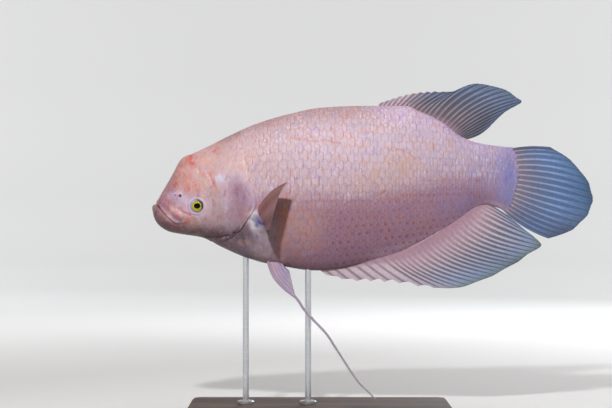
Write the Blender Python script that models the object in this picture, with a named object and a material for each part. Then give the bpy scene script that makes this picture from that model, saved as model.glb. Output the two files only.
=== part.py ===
"""Still, life-size model of an albino giant gourami, held over a flat base by two rods.

The fish is drawn in side view: x runs from the front of the lower lip to the tail and z runs up
from the level of that lip, both in millimetres, with the fish swimming a little nose down. Its
left side faces -Y. It is built as one lofted body that thin cuts part into head, jaw, gill covers,
trunk and tail stalk. Each fin is a sheet with its rays raised as ridges, rooted in the body and
cut back to its surface.
"""

import math

import bmesh
import bpy
import numpy as np

MM = 0.001
GAP = 0.3  # clearance between pieces that touch

# Outline of the body: height against distance behind the lip.
BODY_LENGTH = 468.0
LIP_Z = 4.5
BACK_LINE = [
    (0, 5.5), (1, 8), (3, 9.6), (5.5, 10.6), (7, 14.5), (9, 19), (13, 26), (21.5, 40.5), (29.5, 55),
    (35, 65.5), (42, 72.5), (52, 76), (64, 81.4), (97, 97.6), (134, 114), (175, 126.5), (219, 135.5),
    (270, 138), (330, 138), (347, 131.5), (377, 117.2), (404, 97.5), (422, 91), (451, 86), (468, 84.5),
]
BELLY_LINE = [
    (0, 3.5), (0.7, 0), (2, -6), (4.3, -11.5), (11, -19.5), (23, -26), (36, -28.8), (64, -33),
    (90, -45.7), (117, -57.7), (144, -66), (175, -71.5), (212, -76), (236, -74.5), (290, -63.8),
    (322, -55.8), (345, -45), (395, -16), (411, -3), (425, 7), (437, 9.5), (447, 7.5), (468, 2),
]
# Half of the body's thickness, and the height at which it is thickest.
HALF_WIDTH = [
    (0, 0.5), (1, 7.5), (3, 12.5), (6, 16.5), (10, 19.5), (20, 24), (40, 28.5), (60, 31), (100, 36),
    (130, 39), (165, 40.5), (205, 40.5), (250, 38), (300, 33), (345, 26.5), (385, 19.5), (420, 13.5),
    (445, 9.5), (468, 5.5),
]
WAIST_LINE = [
    (0, 4.5), (4, 1), (25, 0), (50, 4), (100, 15), (140, 25), (200, 34), (320, 42), (430, 48), (468, 43),
]
TOP_ROUNDNESS = [(0, 2.0), (40, 2.2), (90, 1.9), (200, 1.9), (468, 2.0)]
BELLY_ROUNDNESS = [
    (0, 2.0), (40, 2.2), (100, 1.9), (190, 1.8), (260, 1.55), (330, 1.4), (400, 1.5), (430, 1.9), (468, 2.6),
]
TAIL_BASE_SLANT = 8.0  # the tail fin's base leans forward below this height
TAIL_BASE_SLANT_TOP = 22.0
TAIL_BASE_SLANT_START = 430.0

# Lateral sweep of the tail, away from the viewer.
SWAY_START = 250.0
SWAY_END = 573.0
SWAY = 20.0

# Lines of the head, in side view.
MOUTH_LINE = [
    (-8, 11.5), (0, 11.3), (6.2, 10.4), (9.6, 5.9), (19, -4.8), (26, -10.8), (33.5, -14.2), (40, -16),
]
JAW_HINGE_LINE = [(45, -21), (47.5, -32), (48, -48)]
UPPER_LIP = [(8.6, 14), (10.2, 10.2), (14, 4.4), (20.5, -2.4), (27.5, -7.8), (34.5, -11), (41, -11)]
LOWER_LIP = [
    (2.6, 7.4), (3.4, 7.4), (5.6, 6), (9.5, 1.4), (18.5, -8.6), (25.5, -14.2), (33.5, -18), (40, -19),
]
LIP_RADIUS = 2.9
LIP_SUNK = 1.3
LIP_STEPS = 22
LIP_SIDES = 8
GILL_EDGE = [
    (112, 135), (119, 88), (126, 48), (133, 30), (136.5, 14), (134, 2), (127.5, -9), (118, -23),
    (104, -33), (88, -38.5), (73, -38.5), (62, -40), (50, -56),
]
GILL_COVER_OUTLINE = [
    (101, 46), (111, 55), (124, 55), (146, 42), (152, 14), (143, -14), (124, -36), (102, -46),
    (84, -47), (85, -34), (94, -23), (98.5, -8), (101.5, 12), (101, 30),
]
GILL_COVER_DEPTH = 5.0
GILL_COVER_INNER = 14.0  # the covers reach no nearer than this to the mid-plane
EYE_CENTRE = (60.2, 7.6)
EYE_RADIUS = 9.6
EYE_FLATNESS = 0.65
EYE_SUNK = 3.7
NOSTRILS = [((36.4, 21.0), 1.7), ((30.5, 21.6), 1.2)]  # centre and radius
NOSTRIL_DEPTH = 2.5

# Cut between the trunk and the tail stalk.
STALK_LINE = [(400, 130), (408, 92), (420, 40), (424, -10)]

# Grid of the body's surface.
HEAD_STATIONS = 22
TRUNK_STATIONS = 17
AROUND = 38
HEAD_END = 134.0
STATION_CROWDING = 1.5

# Fins. Each knot is a ray from its root to its tip, both in side view. The ray is pulled towards a point
# at the share lean of its reach, and to the left of it by its bend, as a share of the reach. Roots are
# sunk further into the body, and cut back later.
ROOT_DEPTH = 3.5
DORSAL_RAYS = 22
DORSAL_KNOTS = [
    ((290, 137), (297, 142)), ((305, 137), (317, 149)), ((319, 137), (341, 155)),
    ((333, 136), (366, 157.3)), ((347, 130.5), (393, 157.3)), ((362, 123.5), (421, 167.5)),
    ((377, 116), (455, 161.5)), ((388, 108.5), (474, 150.5)), ((395, 103.5), (481, 143)),
    ((399.5, 100), (462, 131.5)), ((403, 97), (436, 114)),
]
DORSAL_LEAN = 0.55
DORSAL_BEND = [0.0, 0.0, 0.02, 0.06, 0.12, 0.16, 0.16, 0.16, 0.1, 0.04, 0.0]
ANAL_RAYS = 26
ANAL_KNOTS = [
    ((213, -75), (227, -82)), ((235, -73.5), (260, -89.5)), ((258, -69.5), (291, -90.3)),
    ((280, -65.5), (322, -92.8)), ((300, -61), (361.4, -98.7)), ((313, -57.3), (387.4, -98.9)),
    ((325, -53), (407, -96.6)), ((336, -48.3), (423.8, -91)), ((347, -43), (437.5, -85.5)),
    ((357.5, -37), (450, -79.8)), ((366.6, -31.9), (461.5, -74)), ((375.7, -26), (472, -67.5)),
    ((386, -19.5), (481, -61.7)), ((396.5, -12.5), (491, -55)), ((404.3, -7), (501.3, -48.5)),
    ((412, -0.8), (507, -42)), ((418.6, 3.8), (499.2, -33)), ((425, 7.7), (486.2, -23.2)),
    ((432, 10.5), (464, -5)),
]
ANAL_LEAN = 0.24
ANAL_BEND = [
    0.0, 0.0, -0.02, -0.04, -0.09, -0.15, -0.2, -0.22, -0.22, -0.22, -0.22, -0.22, -0.22, -0.22, -0.2,
    -0.14, -0.04, 0.02, 0.06,
]
TAIL_RAYS = 17
TAIL_KNOTS = [
    ((468, 82.5), (530, 81.5)), ((468, 72), (546, 65.5)), ((468, 60), (562, 46)),
    ((468, 49), (570.7, 28.5)), ((467.5, 38), (573, 12.5)), ((466.5, 28), (567.5, -3)),
    ((464.5, 19), (555, -17.5)), ((461, 11), (537, -28)), ((457.5, 4.5), (512, -33.8)),
]
TAIL_LEAN = 0.5
TAIL_BEND = [0.1, 0.12, 0.12, 0.08, 0.03, -0.03, -0.07, -0.08, -0.08]
SPINE_SHARE = 0.45  # front part of the dorsal and anal fins that has stiff spines

# The left pectoral fin's knots are (x, out, z): out is measured from the body's mid-plane.
PECTORAL_RAYS = 12
PECTORAL_ROOTS = [(136, 35, 1), (139.5, 35, -4), (143.5, 35, -9.5), (147, 35, -15), (150, 34, -20)]
PECTORAL_BOWS = [(150, 52, 36), (151, 58, 20), (150, 60, 4), (149, 58, -11), (147, 54, -24)]
PECTORAL_TIPS = [(176.5, 72, 37.7), (169.5, 81, 28), (163.5, 83, 12), (158.5, 77, -6), (155, 74, -21)]

PELVIC_RAYS = 6
PELVIC_ROOTS = [(151.5, 7, -60), (157, 7.5, -61.5), (163, 8, -63), (169, 8, -65)]
PELVIC_TIPS = [(188, 12.5, -113), (184, 12, -101), (181, 11.5, -88), (178.5, 11, -77)]
PELVIC_BOWS = [(156.5, 9.6, -92), (164, 10, -86), (167, 10, -80), (172, 9.5, -72)]
FILAMENT_PATH = [
    (151, 7, -60), (154, 8, -73), (160.5, 9.5, -86.5), (173, 11, -100), (187, 12.5, -111), (198, 13, -127),
    (212, 13.5, -142.5), (226, 14, -157.5), (237, 14, -174), (248, 13.5, -191), (258, 13, -206.5),
    (268, 12.5, -220.5), (279, 12, -231.5), (290, 11.5, -242.6),
]
RIGHT_FILAMENT_STRETCH = 1.01  # it trails a little further than the left one
FILAMENT_STEPS = 30
FILAMENT_SIDES = 6
FILAMENT_RADIUS = (2.2, 1.3, 0.6)  # at the root, where it leaves the blade, and at the tip

# Stand.
BASE_LENGTH = 340.0
BASE_WIDTH = 170.0
BASE_THICKNESS = 14.0
BASE_CORNER = 14.0
BASE_EDGE = 2.5
BASE_CENTRE_X = 218.0  # under the fish's centre of mass
TIP_CLEARANCE = 6.0
ROD_RADIUS = 4.0
ROD_X = {"stand_rod_front": 122.0, "stand_rod_rear": 203.0}
ROD_SIDES = 20
ROD_SUNK = 12.0
FLANGE_RADIUS = 11.0
FLANGE_HEIGHT = 4.0
LIP_HEIGHT = BASE_THICKNESS + TIP_CLEARANCE - FILAMENT_PATH[-1][2] + FILAMENT_RADIUS[2]

SKIN_PINK = (0.76, 0.50, 0.47)
HEAD_PINK = (0.74, 0.45, 0.40)
LIP_PINK = (0.62, 0.33, 0.33)
GILL_MAUVE = (0.62, 0.42, 0.45)
FIN_BLUE = (0.40, 0.45, 0.60)
FIN_MAUVE = (0.48, 0.40, 0.47)
FIN_BROWN = (0.50, 0.30, 0.24)
EYE_YELLOW = (0.60, 0.62, 0.05)
WALNUT = (0.09, 0.05, 0.035)
STEEL = (0.55, 0.56, 0.58)


def hermite(xs, ys, slopes):
    """A function through the points (xs, ys) with the given slopes, held level past its ends."""
    steps = np.diff(xs)

    def value(x):
        x = np.clip(x, xs[0], xs[-1])
        i = np.clip(np.searchsorted(xs, x, side="right") - 1, 0, len(steps) - 1)
        t = (x - xs[i]) / steps[i]
        rise = ys[i + 1] - ys[i]
        start, end = slopes[i] * steps[i], slopes[i + 1] * steps[i]
        return ys[i] + t * (start + t * (3 * rise - 2 * start - end + t * (start + end - 2 * rise)))

    return value


def even_slopes(xs, ys):
    """Slopes for a curve that doesn't overshoot between its points."""
    steps, rises = np.diff(xs), np.diff(ys)
    secants = rises / steps
    slopes = np.zeros_like(ys)
    slopes[0], slopes[-1] = secants[0], secants[-1]
    for i in range(1, len(xs) - 1):
        before, after = secants[i - 1], secants[i]
        if before * after > 0:
            near, far = 2 * steps[i] + steps[i - 1], steps[i] + 2 * steps[i - 1]
            slopes[i] = (near + far) / (near / before + far / after)
    return slopes


def profile(points):
    """Smooth function of distance behind the lip. Working on its square root rounds the front."""
    xs, ys = np.array(points, float).T
    xs = np.sqrt(xs)
    value = hermite(xs, ys, even_slopes(xs, ys))
    return lambda x: value(np.sqrt(np.maximum(x, 0)))


def spline(points):
    """Smooth curve through points of any dimension, for a parameter from 0 to 1."""
    points = np.array(points, float)
    points = points.reshape(len(points), -1)
    ts = np.linspace(0, 1, len(points))
    slopes = np.gradient(points, ts, axis=0)
    parts = [hermite(ts, points[:, k], slopes[:, k]) for k in range(points.shape[1])]
    return lambda t: np.stack([part(t) for part in parts], axis=-1)


back = profile(BACK_LINE)
belly = profile(BELLY_LINE)
half_width = profile(HALF_WIDTH)
waist = profile(WAIST_LINE)
top_roundness = profile(TOP_ROUNDNESS)
belly_roundness = profile(BELLY_ROUNDNESS)


def surface_out(x, z):
    """Distance of the plain body surface from the mid-plane, at a point of the side view."""
    upper = z > waist(x)
    reach = np.where(upper, back(x) - waist(x), waist(x) - belly(x))
    roundness = np.where(upper, top_roundness(x), belly_roundness(x))
    share = np.clip(np.abs(z - waist(x)) / reach, 0, 1)
    return half_width(x) * (1 - share**roundness) ** (1 / roundness)


def bump(x, z, centre, size, turn=0.0):
    """A smooth hill of height 1, with its two half sizes and its tilt in degrees."""
    c, s = math.cos(math.radians(turn)), math.sin(math.radians(turn))
    along = (x - centre[0]) * c + (z - centre[1]) * s
    across = (z - centre[1]) * c - (x - centre[0]) * s
    return np.exp(-((along / size[0]) ** 2) - (across / size[1]) ** 2)


def smooth_step(value):
    value = np.clip(value, 0, 1)
    return value * value * (3 - 2 * value)


def head_relief(x, z):
    """How far cheek, jaw corner and gill cover stand out from the plain body, in millimetres."""
    jaw_corner = 1.6 * bump(x, z, (40, -6), (9, 6), -35)
    cheek = 1.8 * bump(x, z, (76, -10), (22, 18))
    cover = 2.0 * smooth_step((x - 99) / 25) * smooth_step((62 - z) / 25) * smooth_step((z + 60) / 20)
    return jaw_corner + cheek + cover


def trunk_relief(x, z):
    """How far the pectoral fins' roots stand out, in millimetres. It tucks in under the gill covers."""
    return 2.0 * bump(x, z, (143, -9), (9, 12))


def sway(x):
    return SWAY * np.clip((x - SWAY_START) / (SWAY_END - SWAY_START), 0, None) ** 2


def placed(points):
    """World coordinates, in metres, of points (x, y, z) of the fish."""
    points = np.array(points, float)
    moved = points.copy()
    moved[..., 0] -= BASE_CENTRE_X
    moved[..., 1] += sway(points[..., 0])
    moved[..., 2] += LIP_HEIGHT
    return moved * MM


def body_grid(relief, lift, inset):
    """Points of the body's surface, as stations by places around each station.

    relief is a function of the side view that is added to the surface, as is lift. inset takes that
    much off the plain sections' half sizes.
    """
    head = HEAD_END * (np.arange(1, HEAD_STATIONS + 1) / HEAD_STATIONS) ** STATION_CROWDING
    trunk = np.linspace(HEAD_END, BODY_LENGTH, TRUNK_STATIONS + 1)[1:]
    x = np.concatenate([head, trunk])[:, None]
    angle = np.linspace(0, 2 * math.pi, AROUND, endpoint=False)[None, :]
    rise, out = np.cos(angle), np.sin(angle)
    upper = rise > 0
    reach = np.where(upper, back(x) - waist(x), waist(x) - belly(x))
    power = 2 / np.where(upper, top_roundness(x), belly_roundness(x))
    z = waist(x) + np.sign(rise) * np.maximum(reach - inset, MM) * np.abs(rise) ** power
    y = np.maximum(half_width(x) - inset, MM) * np.sign(out) * np.abs(out) ** power
    low = smooth_step((TAIL_BASE_SLANT_TOP - z) / TAIL_BASE_SLANT_TOP)
    aft = smooth_step((x - TAIL_BASE_SLANT_START) / (BODY_LENGTH - TAIL_BASE_SLANT_START))
    grid = np.stack([x - TAIL_BASE_SLANT * low * aft, y, z], axis=-1)
    along = np.gradient(grid, axis=0)
    around = np.roll(grid, -1, axis=1) - np.roll(grid, 1, axis=1)
    normal = np.cross(along, around)
    normal /= np.linalg.norm(normal, axis=-1, keepdims=True)
    grid += normal * (relief(grid[..., 0], grid[..., 2]) + lift)[..., None]
    grid[-1, :, 0] += lift
    return grid


def new_object(name, points, faces, colour=None, roughness=0.5, metallic=0.0):
    """A closed mesh object with its faces pointing out."""
    mesh = bpy.data.meshes.new(name)
    mesh.from_pydata([tuple(p) for p in np.asarray(points).reshape(-1, 3)], [], faces)
    work = bmesh.new()
    work.from_mesh(mesh)
    bmesh.ops.recalc_face_normals(work, faces=work.faces)
    bmesh.ops.triangulate(work, faces=[f for f in work.faces if len(f.verts) > 3])
    work.to_mesh(mesh)
    work.free()
    obj = bpy.data.objects.new(name, mesh)
    bpy.context.scene.collection.objects.link(obj)
    if colour:
        finish(obj, colour, roughness, metallic)
    return obj


def finish(obj, colour, roughness=0.5, metallic=0.0):
    """Gives an object its own material and smooth shading that keeps sharp edges."""
    material = bpy.data.materials.new(obj.name)
    material.use_nodes = True
    shader = material.node_tree.nodes["Principled BSDF"]
    shader.inputs["Base Color"].default_value = (*colour, 1)
    shader.inputs["Roughness"].default_value = roughness
    shader.inputs["Metallic"].default_value = metallic
    obj.data.materials.clear()
    obj.data.materials.append(material)
    obj.data.shade_smooth()
    obj.data.set_sharp_from_angle(angle=math.radians(35))


def combine(obj, others, operation, keep_others=False):
    """Applies one Boolean with every object in others, and keeps the largest closed surface."""
    group = bpy.data.collections.new("operands")
    for other in others:
        group.objects.link(other)
    modifier = obj.modifiers.new("join", "BOOLEAN")
    modifier.operand_type = "COLLECTION"
    modifier.collection = group
    modifier.operation = operation
    modifier.solver = "EXACT"
    graph = bpy.context.evaluated_depsgraph_get()
    mesh = bpy.data.meshes.new_from_object(obj.evaluated_get(graph))
    obj.modifiers.clear()
    obj.data = mesh
    bpy.data.collections.remove(group)
    if not keep_others:
        for other in others:
            bpy.data.objects.remove(other)
    keep_largest(obj)
    return obj


def islands(work):
    """The mesh's separate surfaces, as lists of faces."""
    left, found = set(work.faces), []
    while left:
        stack = [left.pop()]
        island = list(stack)
        while stack:
            for edge in stack.pop().edges:
                for face in edge.link_faces:
                    if face in left:
                        left.remove(face)
                        island.append(face)
                        stack.append(face)
        found.append(island)
    return found


def keep_largest(obj):
    """Drops every closed surface but the one with the largest box."""
    work = bmesh.new()
    work.from_mesh(obj.data)

    def size(island):
        points = np.array([v.co for face in island for v in face.verts])
        return float(np.prod(np.ptp(points, axis=0) + MM))

    found = sorted(islands(work), key=size)
    for island in found[:-1]:
        bmesh.ops.delete(work, geom=island, context="FACES")
    loose = [v for v in work.verts if not v.link_faces]
    bmesh.ops.delete(work, geom=loose, context="VERTS")
    work.to_mesh(obj.data)
    work.free()


def copy_of(obj, name):
    twin = obj.copy()
    twin.data = obj.data.copy()
    twin.name = name
    bpy.context.scene.collection.objects.link(twin)
    return twin


def body_object(name, relief, lift=0.0, inset=0.0):
    """The whole body as one closed surface."""
    grid = body_grid(relief, lift, inset)
    stations, around = grid.shape[:2]
    points = [(-lift, 0, LIP_Z), *grid.reshape(-1, 3)]
    faces = []
    for i in range(stations - 1):
        for j in range(around):
            k = (j + 1) % around
            a, b = 1 + i * around, 1 + (i + 1) * around
            faces += [(a + j, a + k, b + k), (a + j, b + k, b + j)]
    faces += [(0, 1 + (j + 1) % around, 1 + j) for j in range(around)]
    last = 1 + (stations - 1) * around
    points.append(tuple(grid[-1].mean(axis=0)))
    faces += [(len(points) - 1, last + j, last + (j + 1) % around) for j in range(around)]
    return new_object(name, placed(points), faces)


def offset_line(line, distance, closed=False):
    """A line in side view moved sideways, to its left as it runs."""
    steps = np.roll(line, -1, axis=0) - np.roll(line, 1, axis=0) if closed else np.gradient(line, axis=0)
    steps /= np.linalg.norm(steps, axis=1, keepdims=True)
    return line + distance * np.stack([-steps[:, 1], steps[:, 0]], axis=1)


def side_prism(name, outline, near, far):
    """A block with a side-view outline, from y = near to y = far, in millimetres."""
    outline = np.asarray(outline, float)
    points = [(x, y, z) for y in (near, far) for x, z in outline]
    return new_object(name, placed(points), tube_faces(2, len(outline)))


BLOCK_REACH = 80.0  # further out than any flank
BLOCK_FAR = 620.0  # further back than the tail


def block_behind(name, line, shift, bottom=-200.0, top=250.0):
    """Everything behind a line that runs down the side view, from shift past that line."""
    edge = offset_line(spline(line)(np.linspace(0, 1, 5 * len(line))), shift)
    corners = [(edge[-1][0], bottom), (BLOCK_FAR, bottom), (BLOCK_FAR, top), (edge[0][0], top)]
    return side_prism(name, [*edge, *corners], -BLOCK_REACH, BLOCK_REACH)


def block_below_mouth(name, shift):
    """Everything in front of and below the mouth line, from shift past that line."""
    line = spline(MOUTH_LINE + JAW_HINGE_LINE)(np.linspace(0, 1, 40))
    edge = offset_line(line, -shift)
    corners = [(edge[-1][0], -90.0), (-40.0, -90.0), (-40.0, edge[0][1])]
    return side_prism(name, [*edge, *corners], -BLOCK_REACH, BLOCK_REACH)


def cover_block(name, side, swell):
    """The space of one gill cover, grown by swell on every side: a shell that follows the flank."""
    line = spline([*GILL_COVER_OUTLINE, GILL_COVER_OUTLINE[0]])(np.linspace(0, 1, 36, endpoint=False))
    inner = GILL_COVER_INNER - swell
    block = side_prism(name, offset_line(line, swell, closed=True), side * inner, side * BLOCK_REACH)
    return combine(block, [body_object("core", head_relief, 0, GILL_COVER_DEPTH + swell)], "DIFFERENCE")


def eye_ball(name, side, swell):
    """A flattened ball for one eye, grown by swell."""
    x, z = EYE_CENTRE
    y = float(surface_out(x, z)) - EYE_SUNK
    rings, sides = 8, 18
    points = [(x, side * (y + EYE_FLATNESS * EYE_RADIUS + swell), z)]
    for i in range(1, rings):
        tilt = math.pi * i / rings
        for j in range(sides):
            turn = 2 * math.pi * j / sides
            out = (EYE_FLATNESS * EYE_RADIUS + swell) * math.cos(tilt)
            wide = (EYE_RADIUS + swell) * math.sin(tilt)
            points.append((x + wide * math.cos(turn), side * (y + out), z + wide * math.sin(turn)))
    points.append((x, side * (y - EYE_FLATNESS * EYE_RADIUS - swell), z))
    faces = [(0, 1 + j, 1 + (j + 1) % sides) for j in range(sides)]
    for i in range(rings - 2):
        a, b = 1 + i * sides, 1 + (i + 1) * sides
        faces += [(a + j, a + (j + 1) % sides, b + (j + 1) % sides, b + j) for j in range(sides)]
    last = 1 + (rings - 2) * sides
    faces += [(len(points) - 1, last + (j + 1) % sides, last + j) for j in range(sides)]
    return new_object(name, placed(points), faces)


def nostril_pit(side, centre, radius):
    """A short round hole through the skin."""
    x, z = centre
    depth = float(surface_out(x, z)) - NOSTRIL_DEPTH
    turns = np.linspace(0, 2 * math.pi, 10, endpoint=False)
    outline = [(x + radius * math.cos(t), z + radius * math.sin(t)) for t in turns]
    return side_prism("nostril", outline, side * depth, side * BLOCK_REACH)


def sheet(roots, bows, tips, rays, rows, thickness, scallop):
    """A closed fin: a curved sheet whose rays are ridges on both faces.

    roots, bows and tips are functions of t from 0, the first ray, to 1, the last. thickness gives the
    sheet's thickness from (t, s, crest), s running from root to tip and crest being 1 on a ray and 0
    between two. scallop is how much shorter the web is than its rays, as a function of t.
    """
    columns = 2 * rays - 1
    t = np.linspace(0, 1, columns)[:, None]
    crest = (np.arange(columns) % 2 == 0).astype(float)[:, None]
    reach = 1 - (1 - crest) * scallop(t)
    s = np.linspace(0, 1, rows + 1)[None, :] * reach
    root, bow, tip = (f(t[:, 0])[:, None, :] for f in (roots, bows, tips))
    share = s[..., None]
    middle = (1 - share) ** 2 * root + 2 * share * (1 - share) * bow + share**2 * tip
    along, across = np.gradient(middle, axis=1), np.gradient(middle, axis=0)
    normal = np.cross(along, across)
    normal /= np.linalg.norm(normal, axis=-1, keepdims=True)
    half = thickness(t, s, crest)[..., None] / 2
    front, rear = middle + normal * half, middle - normal * half
    count = columns * (rows + 1)
    points = np.concatenate([front.reshape(-1, 3), rear.reshape(-1, 3)])
    faces = []

    def at(i, j, face):
        return face * count + i * (rows + 1) + j

    for i in range(columns - 1):
        for j in range(rows):
            for face in (0, 1):
                a, b = at(i, j, face), at(i + 1, j, face)
                c, d = at(i + 1, j + 1, face), at(i, j + 1, face)
                faces += [(a, b, c), (a, c, d)]
    for i in range(columns - 1):
        for j in (0, rows):
            faces.append((at(i, j, 0), at(i + 1, j, 0), at(i + 1, j, 1), at(i, j, 1)))
    for j in range(rows):
        for i in (0, columns - 1):
            faces.append((at(i, j, 0), at(i, j + 1, 0), at(i, j + 1, 1), at(i, j, 1)))
    return placed(points), faces


def ray_thickness(root, ray, web, fleshy):
    """Thickness of a fin: fleshy at the root, then rays and web that both thin out to the margin.

    fleshy is how far the flesh reaches up the rays, as a share of their length.
    """

    def thickness(t, s, crest):
        flesh = np.exp(-((s / fleshy) ** 2))
        fore_and_aft = 1 - 0.65 * (2 * t - 1) ** 4
        thin = (web + (ray - web) * crest) * (1 - 0.45 * s)
        return root * fore_and_aft * flesh + thin * (1 - flesh)

    return thickness


def soft_margin(t):
    """How much shorter the web is than its rays, as a share of their length, on a soft fin."""
    return 0.025 + 0 * t


def spiny_margin(t):
    """The same on a fin whose front rays are stiff spines that stand out of the web."""
    return 0.02 + 0.16 * smooth_step((SPINE_SHARE - t) / 0.1 + 0.5)


def side_view_fin(name, knots, inward, lean, bends, rays, rows, thickness, scallop, ripple, colour):
    """A fin that stands in the fish's mid-plane, from ray knots in side view."""
    knots = np.array(knots, float)
    roots, tips = knots[:, 0] + ROOT_DEPTH * np.array(inward), knots[:, 1]
    reach = tips - roots
    left = np.stack([-reach[:, 1], reach[:, 0]], axis=1)
    bows = roots + lean * reach + np.array(bends)[:, None] * left

    def curve(points, share):
        flat = spline(points)

        def at(t):
            xz = flat(t)
            y = ripple * share * np.sin(2 * math.pi * 2.2 * t + 0.6)
            return np.stack([xz[:, 0], y, xz[:, 1]], axis=-1)

        return at

    points, faces = sheet(
        curve(roots, 0), curve(bows, 0.25), curve(tips, 1), rays, rows, thickness, scallop
    )
    return new_object(name, points, faces, colour, 0.35)


def paired_fin(name, side, roots, bows, tips, rays, rows, thickness, scallop, colour):
    """A fin on one flank, from three-dimensional knots (x, out, z)."""

    def curve(points):
        placed_side = [(x, side * out, z) for x, out, z in points]
        return spline(placed_side)

    points, faces = sheet(curve(roots), curve(bows), curve(tips), rays, rows, thickness, scallop)
    return new_object(name, points, faces, colour, 0.35)


def tube_faces(rings, sides):
    """The sides and the two end faces of a shape made of like rings, one after another."""
    faces = []
    for a in range(0, (rings - 1) * sides, sides):
        for j in range(sides):
            k = (j + 1) % sides
            faces.append((a + j, a + k, a + sides + k, a + sides + j))
    faces.append(tuple(range(sides)))
    faces.append(tuple(range((rings - 1) * sides, rings * sides)))
    return faces


def tube(name, path, radius, sides, across):
    """A closed round tube along a path. across is a direction that the path never takes."""
    steps = np.gradient(path, axis=0)
    steps /= np.linalg.norm(steps, axis=1, keepdims=True)
    first = np.cross(steps, np.array(across, float))
    first /= np.linalg.norm(first, axis=1, keepdims=True)
    second = np.cross(steps, first)
    turns = np.linspace(0, 2 * math.pi, sides, endpoint=False)
    rings = [
        path[i] + radius[i] * (math.cos(t) * first[i] + math.sin(t) * second[i])
        for i in range(len(path))
        for t in turns
    ]
    return new_object(name, placed(rings), tube_faces(len(path), sides))


def filament(name, side):
    """The long first ray of a pelvic fin, as a tapering tube."""
    share = np.linspace(0, 1, FILAMENT_STEPS + 1)
    path = spline([(x, side * out, z) for x, out, z in FILAMENT_PATH])(share)
    if side > 0:
        path = path[0] + (path - path[0]) * RIGHT_FILAMENT_STRETCH
    leaves_blade = 4 / (len(FILAMENT_PATH) - 1)
    radius = np.interp(share, [0, leaves_blade, 1], FILAMENT_RADIUS)
    return tube(name, path, radius, FILAMENT_SIDES, (0, 1, 0))


def lip(name, line):
    """A lip: a roll along the edge of the mouth, from one corner round the front to the other."""
    side = [(x, float(surface_out(x, z)) - LIP_SUNK, z) for x, z in line]
    side[0] = (side[0][0], 0, side[0][2])
    across = [(x, -out, z) for x, out, z in side[:0:-1]]
    share = np.linspace(0, 1, LIP_STEPS + 1)
    radius = LIP_RADIUS * np.minimum(1, 0.45 + 8 * share * (1 - share))
    return tube(name, spline(across + side)(share), radius, LIP_SIDES, (0, 0, 1))


def turned(name, x, profile_points, colour):
    """A round piece on a vertical axis at x, from (radius, height) points above the floor."""
    turns = np.linspace(0, 2 * math.pi, ROD_SIDES, endpoint=False)
    points = [
        ((x - BASE_CENTRE_X + r * math.cos(t)) * MM, r * math.sin(t) * MM, z * MM)
        for r, z in profile_points
        for t in turns
    ]
    return new_object(name, points, tube_faces(len(profile_points), ROD_SIDES), colour, 0.3, 1.0)


def stand_base():
    """A flat plate with rounded corners and softened edges."""
    corner_steps = 5
    outline = []
    half_x, half_y = BASE_LENGTH / 2 - BASE_CORNER, BASE_WIDTH / 2 - BASE_CORNER
    for quarter, (right, back_side) in enumerate([(1, 1), (-1, 1), (-1, -1), (1, -1)]):
        for step in range(corner_steps + 1):
            turn = math.pi / 2 * (quarter + step / corner_steps)
            outline.append((right * half_x, back_side * half_y, math.cos(turn), math.sin(turn)))
    levels = [(BASE_EDGE, 0), (0, BASE_EDGE), (0, BASE_THICKNESS - BASE_EDGE), (BASE_EDGE, BASE_THICKNESS)]
    points = [
        ((cx + (BASE_CORNER - inset) * c) * MM, (cy + (BASE_CORNER - inset) * s) * MM, z * MM)
        for inset, z in levels
        for cx, cy, c, s in outline
    ]
    return new_object("stand_base", points, tube_faces(len(levels), len(outline)), WALNUT, 0.4)


def rod(name, x):
    """A rod with a small foot flange, running up into the belly."""
    bottom = BASE_THICKNESS + GAP
    top = LIP_HEIGHT + float(belly(x)) + ROD_SUNK
    shape = [
        (FLANGE_RADIUS, bottom), (FLANGE_RADIUS, bottom + FLANGE_HEIGHT - 1),
        (FLANGE_RADIUS - 1, bottom + FLANGE_HEIGHT), (ROD_RADIUS + 1, bottom + FLANGE_HEIGHT),
        (ROD_RADIUS, bottom + FLANGE_HEIGHT + 1.5), (ROD_RADIUS, top),
    ]
    return turned(name, x, shape, STEEL)


def build_body():
    """Parts the body into tail stalk, trunk, lower jaw, gill covers, eyes and head."""
    trunk = body_object("trunk", trunk_relief)
    stalk = copy_of(trunk, "tail_stalk")
    combine(stalk, [block_behind("behind", STALK_LINE, GAP / 2)], "INTERSECT")
    combine(trunk, [block_behind("behind", STALK_LINE, -GAP / 2)], "DIFFERENCE")
    combine(trunk, [block_behind("behind", GILL_EDGE, GAP / 2)], "INTERSECT")
    head = body_object("head", head_relief)
    combine(head, [block_behind("behind", GILL_EDGE, -GAP / 2)], "DIFFERENCE")
    combine(head, [lip("lip", UPPER_LIP), lip("lip", LOWER_LIP)], "UNION")
    jaw = copy_of(head, "lower_jaw")
    combine(jaw, [block_below_mouth("mouth", GAP / 2)], "INTERSECT")
    combine(head, [block_below_mouth("mouth", -GAP)], "DIFFERENCE")
    finish(trunk, SKIN_PINK)
    finish(stalk, SKIN_PINK)
    finish(jaw, LIP_PINK)
    for side, word in ((-1, "left"), (1, "right")):
        cover = copy_of(head, f"gill_cover_{word}")
        combine(cover, [cover_block("cover", side, 0)], "INTERSECT")
        finish(cover, GILL_MAUVE)
        finish(eye_ball(f"eye_{word}", side, 0), EYE_YELLOW, 0.05)
    cutters = []
    for side in (-1, 1):
        cutters += [cover_block("cover", side, GAP), eye_ball("socket", side, GAP)]
        cutters += [nostril_pit(side, centre, radius) for centre, radius in NOSTRILS]
    for cutter in cutters:
        combine(head, [cutter], "DIFFERENCE")
    finish(head, HEAD_PINK)


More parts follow.
